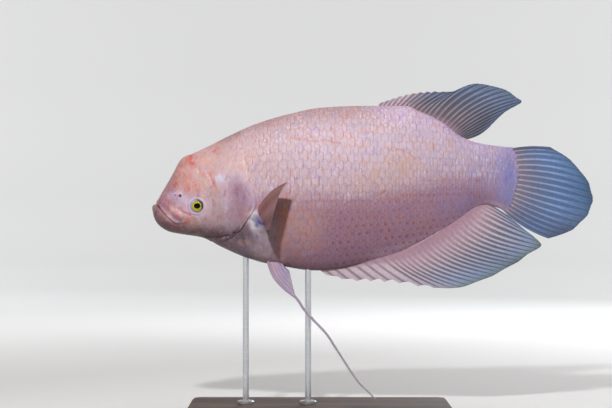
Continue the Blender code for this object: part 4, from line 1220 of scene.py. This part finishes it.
class ScaleGrid:
    """Many scales, each a grid. f runs from its root to its rear margin and v across it, -1 to 1."""

    def __init__(self, flank, on_head, rear, row, ridge):
        count = len(rear)
        rear, row, ridge = (values[:, None, None] for values in (rear, row, ridge))
        f, v = ALONG_SCALE[None, :, None], ACROSS_SCALE[None, None, :]
        size = size_along(rear)
        length = SCALE_LENGTH * SCALE_PITCH * size
        own = rng.random(count)[:, None, None]
        tilt = rng.normal(0, 0.035, count)[:, None, None]
        half = SCALE_HALF_HEIGHT * (1 + rng.normal(0, 0.04, count))[:, None, None] * ROW_PITCH * size
        rounded = 1 - (0.045 + 0.035 * own) * np.abs(v) ** 3
        x = rear - length * (1 - f * rounded)
        up = v * half * (0.9 + 0.1 * np.sin(math.pi * f))
        self.angle = flank.angle(x, row_arc(flank, x, row, ridge) + up + tilt * (x - rear))
        self.base, self.normal = section(x, self.angle), outward(x, self.angle)
        self.x, self.z = self.base[..., 0], self.base[..., 2]
        self.on_head, self.own, self.rear, self.size, self.f, self.v = on_head, own, rear, size, f, v
        self.strength = scale_strength(self.x, self.z, on_head)
        self.ahead, self.aside = length * (1 - f) * rounded, v * half
        self.margin = np.minimum(self.ahead, 1.15 * (1 - np.abs(v)) * half)

    def points(self):
        """Upper faces. Scales of little strength lie sunk in the skin."""
        f, strength = self.f, self.strength
        relief = head_relief(self.x, self.z) if self.on_head else trunk_relief(self.x, self.z)
        lift = 0.1 - SCALE_STEP * (0.6 + 0.4 * self.size) * SCALE_LENGTH * (1 - f)
        lift = lift - 0.02 * np.abs(self.v) ** 4 - 0.04 * smooth_step((f - 0.97) / 0.03)
        height = strength * (lift + 0.03 * (self.own - 0.5)) - 0.36 * (1 - strength)
        height -= 0.6 * (1 - smooth_step(strength / 0.14))
        if not self.on_head:
            height -= 0.8 * smooth_step((1 - gill_share(self.x, self.z)) / 0.05)
        return self.base + self.normal * (relief + height)[..., None]

    def attributes(self):
        """Colour of the scales, and the values that their material reads."""
        x, z, own, strength = self.x, self.z, self.own, self.strength
        tint = skin_colour(x, z, np.full(x.shape, self.on_head))
        tint = tint * (1 + 0.05 * (own - 0.5) * strength)[..., None]
        upper = smooth_step((z - flank_line(x)) / 34 + 0.5)
        calm = 1 - 0.75 * bump(x, z, (324, 62), (24, 17)) - 0.6 * bump(x, z, (285, 40), (24, 14))
        ink = (0.1 + 0.66 * upper) * strength * (0.2 + own**1.5) * calm
        low = np.minimum(1, 1.7 * (1 - upper)) * (0.6 + 0.4 * smooth_step((10 - z) / 30))
        dots = low * smooth_step((x - 205) / 40) * smooth_step((450 - x) / 30) * (0.55 + 0.35 * own)
        if self.on_head:
            dots = 0
        return {"tint": tint, "lie": stacked(self.margin, own, 0), "ink": stacked(ink, dots, strength),
                "place": stacked(self.ahead, upper, self.aside)}

    def patches(self, side):
        """OFBake places: a small patch for each scale, at its place on the body."""
        return unwrap(self.rear, side * self.angle[:, :1, 5:6]) + 0.003 * stacked(self.f - 0.5, self.v / 2)


def scale_piece(name, grid, side, material, parts):
    """One joined mesh of scales. Each is a thin closed plate that follows the body."""
    *sheets, rim = parts
    count = len(grid.rear)

    def spread(values):
        """Values for the upper face, repeated for the lower rim and the middle of the underside."""
        values = values.reshape(count, len(ALONG_SCALE) * len(ACROSS_SCALE), -1)
        return np.concatenate([values, values[:, rim], values[:, :1]], axis=1).reshape(-1, values.shape[-1])

    upper = grid.points().reshape(count, -1, 3)
    low = upper[:, rim] - grid.normal.reshape(count, -1, 3)[:, rim] * SCALE_THICKNESS
    points = np.concatenate([upper, low, low.mean(axis=1, keepdims=True)], axis=1)
    points[..., 1] *= side
    shift = (np.arange(count) * points.shape[1])[:, None, None]
    faces = [(part[None, :, ::side] + shift).reshape(-1, part.shape[1]) for part in sheets]
    attributes = {key: spread(values) for key, values in grid.attributes().items()}
    points = placed(points.reshape(-1, 3))
    return new_piece(name, points, faces, material, attributes, spread(grid.patches(side)))


# Fins

# Shape of each fin: its rays, how many of them are stiff, the grid's columns to a ray and its rows,
# thickness of root, ray and web, the share that is fleshy, a ray's half width as a share of the step
# between rays, the notch behind each stiff and each soft ray as shares of its length, the two places
# where soft rays split, and the share at which they come out of the flesh.
FinShape = namedtuple("FinShape", "rays stiff columns rows root ray web fleshy wide notches splits rise")
DORSAL_FIN = FinShape(rays=27, stiff=9, columns=14, rows=64, root=5.0, ray=1.8, web=0.9, fleshy=0.14,
                      wide=0.19, notches=(0.12, 0.012), splits=(0.5, 0.78), rise=0.03)
ANAL_FIN = FinShape(rays=31, stiff=7, columns=14, rows=70, root=8.5, ray=1.7, web=0.95, fleshy=0.24,
                    wide=0.25, notches=(0.13, 0.004), splits=(0.6, 0.82), rise=0.14)
TAIL_FIN = FinShape(rays=17, stiff=0, columns=20, rows=76, root=5.0, ray=1.9, web=0.9, fleshy=0.12,
                    wide=0.17, notches=(0.0, 0.006), splits=(0.42, 0.72), rise=0.03)
PECTORAL_FIN = FinShape(rays=14, stiff=0, columns=12, rows=60, root=4.0, ray=1.6, web=0.8, fleshy=0.16,
                        wide=0.2, notches=(0.0, 0.01), splits=(0.5, 0.8), rise=0.05)
PELVIC_FIN = FinShape(rays=6, stiff=1, columns=14, rows=50, root=3.2, ray=1.6, web=0.8, fleshy=0.2,
                      wide=0.22, notches=(0.02, 0.015), splits=(0.55, 0.8), rise=0.05)
RIPPLES = 2.2  # waves of a mid-plane fin's margin


def ray_crest(t, s, shape):
    """How much of a ray there is at each place, 0 to 1, and the place across the web from the ray in
    front. Soft rays split in two, and again, on their way out."""
    place = t * (shape.rays - 1)
    nearest = np.round(place)
    gap = place - nearest
    soft = nearest >= shape.stiff
    first, second = (reach * smooth_step((s - start) / (1 - start)) * soft
                     for reach, start in zip((0.20, 0.10), shape.splits))
    width = np.where(soft, shape.wide * (1 - 0.25 * s) - 0.25 * first, 1.6 * shape.wide)
    crest = np.zeros(np.broadcast(t, s).shape)
    for a in (-1, 1):
        for b in (-1, 1):
            crest = np.maximum(crest, hill(gap - a * first - b * second, width))
    return crest, place - np.floor(place)


def fin_points(roots, bows, tips, t, s):
    """Points of a fin's mid-sheet: quadratic rays from root to tip."""
    root, bow, tip = (f(t[:, 0])[:, None, :] for f in (roots, bows, tips))
    share = s[..., None]
    middle = (1 - share) ** 2 * root + 2 * share * (1 - share) * bow + share**2 * tip
    along, across = np.gradient(middle, axis=1), np.gradient(middle, axis=0)
    return middle, unit(np.cross(along, across))


def fin_notch(shape, t, soft):
    """How much of a fin's margin is cut away behind each ray, as a share of the ray."""
    crest, behind = ray_crest(t, np.ones_like(t), shape)
    stiff_notch, soft_notch = shape.notches
    return stiff_notch * (1 - soft) * behind**0.8 + soft * (soft_notch * (1 - crest) + 0.006 * np.sin(37 * t))


def fin_thickness(shape, t, s, level, crest):
    flesh = hill(s, shape.fleshy)
    fore_and_aft = 1 - 0.65 * (2 * t - 1) ** 4
    thin = (shape.web + (shape.ray - shape.web) * crest) * (1 - 0.55 * s)
    thick = (shape.root - 0.4) * fore_and_aft * flesh + thin * (1 - flesh)
    return thick * (1 - 0.6 * smooth_step((level - 0.985) / 0.015))


def fin_faces(lines, steps):
    """Both faces of a fin and the wall between them."""
    sheet, count, rim = quads(lines, steps), lines * steps, rim_of(lines, steps)
    after = np.roll(rim, -1)
    return [sheet, sheet[:, ::-1] + count, stacked(rim, rim + count, after + count, after)]


def fin_piece(name, curves, shape, tones, marks, material):
    """A fin as one closed sheet with its rays raised on both faces. tones are the colours of web and
    ray by s, the share out, and marks lays others over them by t, the share across, and s."""
    t = np.linspace(0, 1, (shape.rays - 1) * shape.columns + 1)[:, None]
    level = 1 - (1 - np.linspace(0, 1, shape.rows + 1)[None, :]) ** 1.15
    soft = 1 - smooth_step((shape.stiff - t * (shape.rays - 1)) / 2 + 0.5)
    s = level * (1 - fin_notch(shape, t, soft))
    crest, _ = ray_crest(t, s, shape)
    crest = crest * smooth_step((s - shape.rise * soft + 0.12) / (0.2 + 0.6 * shape.rise))
    middle, normal = fin_points(*curves, t, s)
    half = normal * fin_thickness(shape, t, s, level, crest)[..., None] / 2
    points = np.concatenate([(middle + half).reshape(-1, 3), (middle - half).reshape(-1, 3)])
    length = np.linalg.norm(np.diff(middle, axis=1), axis=-1).cumsum(axis=1)
    length = np.concatenate([np.zeros((len(t), 1)), length], axis=1)
    colours = marks(t, s, [tone(s) for tone in tones])
    layers = {"tint": blend(*colours, smooth_step(crest * 1.5 - 0.15)), "ray": stacked(crest, length, 0)}
    attributes = {key: np.concatenate([values, values]) for key, values in layers.items()}
    bake = stacked(0.02 + 0.96 * t, 0.02 + 0.46 * s).reshape(-1, 2)
    bake = np.concatenate([bake, bake + (0, 0.5)])
    faces = fin_faces(*s.shape)
    corner, along, _, across = points[faces[0][0]]
    if np.cross(along - corner, across - corner) @ half[0, 0] < 0:
        faces = [part[:, ::-1] for part in faces]
    return new_piece(name, placed(points), faces, material, attributes, bake)


def mid_plane_curves(knots, inward, lean, bends, ripple):
    """Root, bow and tip curves of a fin that stands in the mid-plane. A ray's bow lies at the share
    lean of its reach, off to the left by its bend."""
    knots = np.array(knots, float)
    roots, tips = knots[:, 0] + ROOT_DEPTH * np.array(inward), knots[:, 1]
    reach = tips - roots
    left = np.stack([-reach[:, 1], reach[:, 0]], axis=1)
    bows = roots + lean * reach + np.array(bends)[:, None] * left

    def curve(points, share):
        flat = spline(points)

        def at(t):
            xz = flat(t)
            return stacked(xz[:, 0], ripple * share * np.sin(2 * math.pi * RIPPLES * t + 0.6), xz[:, 1])

        return at

    return curve(roots, 0), curve(bows, 0.25), curve(tips, 1)


def side_curves(knots, side):
    return [spline([(x, side * out, z) for x, out, z in part]) for part in knots]


def toned(*stops):
    """Colour along the rays from (share, colour) stops."""
    shares = [share for share, _ in stops]
    tones = np.array([linear(tone) for _, tone in stops])
    return lambda s: np.stack([np.interp(s, shares, tones[:, k]) for k in range(3)], axis=-1)


def laid_over(tones, where, web, web_share, ray, ray_share):
    """The colours of web and ray with a tone over each, where asked and by its own share."""
    return paint(tones[0], web, web_share * where), paint(tones[1], ray, ray_share * where)


# Colours of each fin from root to margin, of its web and of its rays.
DORSAL_TONES = (
    toned((0, (160, 130, 146)), (0.12, (100, 84, 94)), (0.4, (78, 78, 94)), (0.7, (74, 86, 114)),
          (1, (58, 76, 102))),
    toned((0, (190, 162, 180)), (0.12, (148, 132, 144)), (0.4, (132, 134, 158)), (0.7, (130, 148, 184)),
          (1, (98, 118, 150))),
)
ANAL_TONES = (
    toned((0, (196, 156, 172)), (0.1, (206, 168, 184)), (0.25, (204, 170, 186)), (0.42, (166, 142, 152)),
          (0.6, (120, 114, 130)), (0.9, (90, 106, 136)), (1, (74, 100, 104))),
    toned((0, (204, 166, 186)), (0.1, (218, 184, 202)), (0.25, (222, 194, 210)), (0.42, (222, 204, 220)),
          (0.6, (204, 202, 226)), (0.9, (150, 168, 202)), (1, (112, 134, 138))),
)
TAIL_TONES = (
    toned((0, (164, 148, 200)), (0.06, (158, 142, 176)), (0.14, (134, 124, 144)), (0.3, (112, 118, 144)),
          (0.55, (94, 124, 170)), (0.85, (80, 116, 162)), (1, (62, 94, 126))),
    toned((0, (176, 160, 206)), (0.07, (230, 212, 186)), (0.16, (186, 178, 200)), (0.3, (162, 174, 220)),
          (0.55, (150, 182, 236)), (0.85, (102, 138, 188)), (1, (72, 104, 136))),
)
PECTORAL_TONES = (
    toned((0, (160, 108, 108)), (0.3, (146, 96, 90)), (1, (126, 86, 78))),
    toned((0, (174, 118, 116)), (0.4, (160, 110, 104)), (1, (140, 98, 90))),
)
PELVIC_TONES = (
    toned((0, (204, 168, 188)), (0.5, (176, 154, 188)), (1, (160, 150, 184))),
    toned((0, (212, 180, 198)), (1, (196, 176, 202))),
)
FILAMENT_TONE = toned(
    (0, (206, 176, 200)), (0.2, (190, 168, 196)), (0.6, (182, 170, 190)), (1, (196, 186, 196)),
)


def dorsal_marks(t, s, tones):
    rear = smooth_step((t - 0.62) / 0.3) * smooth_step((0.9 - s) / 0.5)
    tones = laid_over(tones, rear, (44, 48, 62), 0.65, (92, 96, 118), 0.6)
    front = smooth_step((0.42 - t) / 0.3)
    return laid_over(tones, front, (122, 88, 74), 0.85, (186, 156, 178), 0.85)


def anal_marks(t, s, tones):
    front = smooth_step((0.38 - t) / 0.25)
    web = paint(tones[0], (156, 120, 118), 0.8 * front * smooth_step((s - 0.2) / 0.35))
    ray = paint(tones[1], (238, 214, 228), 0.8 * front * smooth_step((s - 0.1) / 0.2))
    scale_rows = 0.5 + 0.5 * np.sin(150 * s + 9 * np.sin(31 * t))
    foot = smooth_step((0.34 - s) / 0.3) * scale_rows
    return laid_over((web, ray), foot, (166, 122, 142), 0.5, (176, 132, 152), 0.35)


def tail_marks(t, s, tones):
    low = smooth_step((t - 0.5) / 0.4) * smooth_step((s - 0.05) / 0.3)
    web, ray = laid_over(tones, low, (84, 98, 128), 0.5, (108, 120, 164), 0.5)
    far_low = smooth_step((t - 0.55) / 0.3) * smooth_step((s - 0.75) / 0.15) * smooth_step((0.97 - s) / 0.05)
    ray = paint(ray, (100, 90, 98), 0.4 * far_low)
    top = smooth_step((0.14 - t) / 0.14)
    return laid_over((web, ray), top, (84, 86, 104), 0.65, (122, 124, 146), 0.55)


def pectoral_marks(t, s, tones):
    # Painted shade of two folds that the smooth sheet doesn't have, and painted light on the fin between
    # them.
    fin_fold_shade = hill(t - 0.3, 0.1) + hill(t - 0.78, 0.12)
    tones = laid_over(tones, fin_fold_shade, (112, 74, 70), 0.55, (112, 74, 70), 0.55)
    return laid_over(tones, hill(t - 0.55, 0.12), (190, 146, 150), 0.4, (196, 154, 160), 0.4)


def pelvic_marks(t, s, tones):
    rear = smooth_step((t - 0.45) / 0.4) * smooth_step((0.95 - s) / 0.4)
    return laid_over(tones, rear, (196, 176, 196), 0.4, (104, 112, 186), 0.7)


def filament_rings(side):
    """The long first ray of a pelvic fin, as rings of points, and their share along it."""
    share = np.linspace(0, 1, FILAMENT_STEPS + 1)
    path = spline([(x, side * out, z) for x, out, z in FILAMENT_PATH])(share)
    if side > 0:
        path = path[0] + (path - path[0]) * RIGHT_FILAMENT_STRETCH
    radius = np.interp(share, [0, 4 / (len(FILAMENT_PATH) - 1), 1], FILAMENT_RADIUS)
    radius = radius * (1 + 0.05 * np.sin(share * 320)) * np.sqrt(np.clip((1 - share) * 60 + 0.02, 0, 1))
    along = unit(np.gradient(path, axis=0))
    first = unit(np.cross(along, (0, 1, 0)))
    second = np.cross(along, first)
    turn = turns_round(FILAMENT_SIDES)[None, :, None]
    ring = np.cos(turn) * first[:, None] + np.sin(turn) * second[:, None]
    return path[:, None] + radius[:, None, None] * ring, share


def build_filament(side, word, material):
    """The long ray as a closed tube, coloured along its length."""
    rings, share = filament_rings(side)
    steps, sides = rings.shape[:2]
    points = np.concatenate([rings.reshape(-1, 3), [rings[0].mean(axis=0), rings[-1].mean(axis=0)]])
    share = np.concatenate([np.repeat(share, sides), [0, 1]])
    turn = np.concatenate([np.tile(np.arange(sides) / sides, steps), [0.5, 0.5]])
    attributes = {"tint": FILAMENT_TONE(share), "ray": stacked(1, share * 330, 0)}
    return new_piece(f"pelvic_filament_{word}", placed(points), closed_tube(steps, sides), material,
                     attributes, stacked(turn, share))


def build_fins():
    """Every fin, with the solids that it stands for and its slot."""
    made = []
    for name, knots, inward, lean, bends, ripple, shape, tones, marks, slot in (
        ("dorsal_fin", DORSAL_KNOTS, (0, -1), DORSAL_LEAN, DORSAL_BEND, 2.0, DORSAL_FIN, DORSAL_TONES,
         dorsal_marks, "mauve_fin"),
        ("anal_fin", ANAL_KNOTS, (0, 1), ANAL_LEAN, ANAL_BEND, 2.5, ANAL_FIN, ANAL_TONES,
         anal_marks, "mauve_fin"),
        ("tail_fin", TAIL_KNOTS, (-1, 0), TAIL_LEAN, TAIL_BEND, 2.0, TAIL_FIN, TAIL_TONES,
         tail_marks, "blue_fin"),
    ):
        curves = mid_plane_curves(knots, inward, lean, bends, ripple)
        fin = fin_piece(f"{name}_skin", curves, shape, tones, marks, fin_material(name))
        made.append((fin, [name], slot))
    pectoral, pelvic = fin_material("pectoral_fin"), fin_material("pelvic_fin")
    for side, word in SIDES:
        for name, knots, shape, tones, marks, material, slot in (
            ("pectoral_fin", PECTORAL_KNOTS, PECTORAL_FIN, PECTORAL_TONES, pectoral_marks, pectoral,
             "brown_fin"),
            ("pelvic_fin", PELVIC_KNOTS, PELVIC_FIN, PELVIC_TONES, pelvic_marks, pelvic,
             "mauve_fin"),
        ):
            curves = side_curves(knots, side)
            fin = fin_piece(f"{name}_{word}_skin", curves, shape, tones, marks, material)
            made.append((fin, [f"{name}_{word}"], slot))
        made.append((build_filament(side, word, pelvic), [], "mauve_fin"))
    return made


# Eyes

EYE_STEPS, EYE_SIDES = 60, 72
LENS_HEIGHT, LENS_RADIUS = 0.28, 4.7
IRIS_DIP, IRIS_DIP_RADIUS = 0.16, 5.4


def build_eye(side, word, material):
    """A flattened eyeball with a slightly raised lens, its iris painted by distance from the middle."""
    cx, cz = EYE_CENTRE
    cy = float(surface_out(cx, cz)) - EYE_SUNK
    depth = EYE_FLATNESS * EYE_RADIUS
    tilt = np.linspace(0, math.pi, EYE_STEPS + 1)[1:-1, None]
    turn = turns_round(EYE_SIDES)[None, :]
    reach, out = (EYE_RADIUS - 0.05) * np.sin(tilt), depth * np.cos(tilt)
    facing = out > 0
    lens = LENS_HEIGHT * smooth_step((LENS_RADIUS - reach) / 0.9)
    out = out + facing * (lens - IRIS_DIP * hill(reach - IRIS_DIP_RADIUS, 0.7))
    across, up = reach * np.cos(turn), reach * np.sin(turn)
    ball = stacked(cx + across, side * (cy + out), cz + up).reshape(-1, 3)
    ends = [(cx, side * (cy + depth + LENS_HEIGHT), cz), (cx, side * (cy - depth), cz)]
    points = np.concatenate([ball, ends])
    faces = [part[:, ::side] for part in closed_tube(EYE_STEPS - 1, EYE_SIDES)]
    pupil = np.where(facing, np.hypot((across - 0.4) / 1.1, (up - 0.4) / 0.92), EYE_RADIUS)
    oval = np.where(facing, np.hypot(across / 0.94, up / 1.06), EYE_RADIUS)
    iris = np.concatenate([stacked(pupil, oval, 0).reshape(-1, 3), [[0, 0, 0], [EYE_RADIUS, EYE_RADIUS, 0]]])
    spokes = stacked(5 * np.cos(turn), 5 * np.sin(turn), oval / 4).reshape(-1, 3)
    spokes = np.concatenate([spokes, [[0, 0, 0], [0, 0, EYE_RADIUS / 4]]])
    bake = 0.5 + 0.04 * (points[:, [0, 2]] - EYE_CENTRE)
    attributes = {"iris": iris, "spokes": spokes}
    return new_piece(f"eye_{word}_ball", placed(points), faces, material, attributes, bake)


# Studio

def build_floor():
    """A pale round floor whose rim curves up out of every view."""
    turns = turns_round(FLOOR_SIDES)
    points = [(r * math.cos(turn), r * math.sin(turn), h) for r, h in FLOOR_LINE for turn in turns]
    points.append((0, 0, 0))
    middle = fan(len(points) - 1, np.arange(FLOOR_SIDES))
    faces = [quads(len(FLOOR_LINE), FLOOR_SIDES, wrap=True), middle]
    floor = new_piece("studio_floor", points, faces, floor_material())
    floor.visible_diffuse = False


def area_light(name, place, aim, size, power, colour=(1, 1, 1)):
    """A round soft light that faces its aim and isn't seen itself."""
    light = bpy.data.lights.new(name, "AREA")
    light.shape = "DISK"
    light.size = size
    light.energy = power
    light.color = colour
    obj = new_object(name, light)
    obj.location = place
    direction = np.array(aim, float) - np.array(place, float)
    turn = math.atan2(direction[1], direction[0]) - math.pi / 2
    lift = math.atan2(direction[2], math.hypot(direction[0], direction[1])) + math.pi / 2
    obj.rotation_euler = (lift, 0, turn)
    obj.visible_camera = False


def build_lights():
    """A key from the upper left in front, soft lights from above and behind, and lights turned
    outwards that wash the wall of the studio."""
    area_light("key", (-0.38, -1.72, 1.42), LIGHT_AIM, 0.14, 31, (1.0, 0.985, 0.98))
    area_light("top", (0.1, -0.35, 2.3), LIGHT_AIM, 1.5, 8, (1.0, 0.97, 0.95))
    area_light("back", (0.9, 2.2, 1.4), LIGHT_AIM, 1.2, 22, (0.98, 0.99, 1.0))
    for turn in (45, 135, 225, 315):
        x, y = math.cos(math.radians(turn)), math.sin(math.radians(turn))
        area_light(f"wash_{turn}", (2.4 * x, 2.4 * y, 3.2), (6.6 * x, 6.6 * y, 0.9), 2.4, 190)
    world = bpy.data.worlds.new("studio")
    bpy.context.scene.world = world
    world.use_nodes = True
    background = world.node_tree.nodes["Background"].inputs
    background["Color"].default_value = (1.0, 0.92, 0.86, 1)
    background["Strength"].default_value = 0.2


def build_camera():
    """A level camera at the photo's place, with the photo's framing."""
    data = bpy.data.cameras.new("camera")
    data.sensor_width = SENSOR
    data.lens = SENSOR * CAMERA_DISTANCE / (PIXEL * IMAGE_WIDTH)
    data.clip_end = 50
    camera = new_object("camera", data)
    camera.location = (VIEW_CENTRE[0] * MM, -CAMERA_DISTANCE * MM, VIEW_CENTRE[1] * MM)
    camera.rotation_euler = (math.pi / 2, 0, 0)
    bpy.context.scene.camera = camera
    bpy.context.scene.view_settings.view_transform = "Standard"


def finish_stand():
    """Finishes for the stand's own solids."""
    wood, steel = wood_material(), steel_material()
    for name, material in (("stand_base", wood), ("stand_rod_front", steel), ("stand_rod_rear", steel)):
        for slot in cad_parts[name].material_slots:
            slot.material = material


def attach(piece, nodes=()):
    """Ties a piece to the model's body, in place of the solids named."""
    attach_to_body(piece, "root")
    if nodes:
        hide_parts(*nodes)


def main():
    build_camera()
    flesh = ["head", "lower_jaw", "gill_cover_left", "gill_cover_right", "trunk", "tail_stalk"]
    attach(build_skin(skin_material()), flesh)
    flank, scales, eye = Flank(), scale_material(), eye_material()
    for side, word in SIDES:
        for piece in build_scales(flank, side, word, scales):
            attach(piece)
        attach(build_eye(side, word, eye), [f"eye_{word}"])
    for piece, nodes, slot in build_fins():
        attach(piece, nodes)
    finish_stand()
    build_floor()
    build_lights()


main()
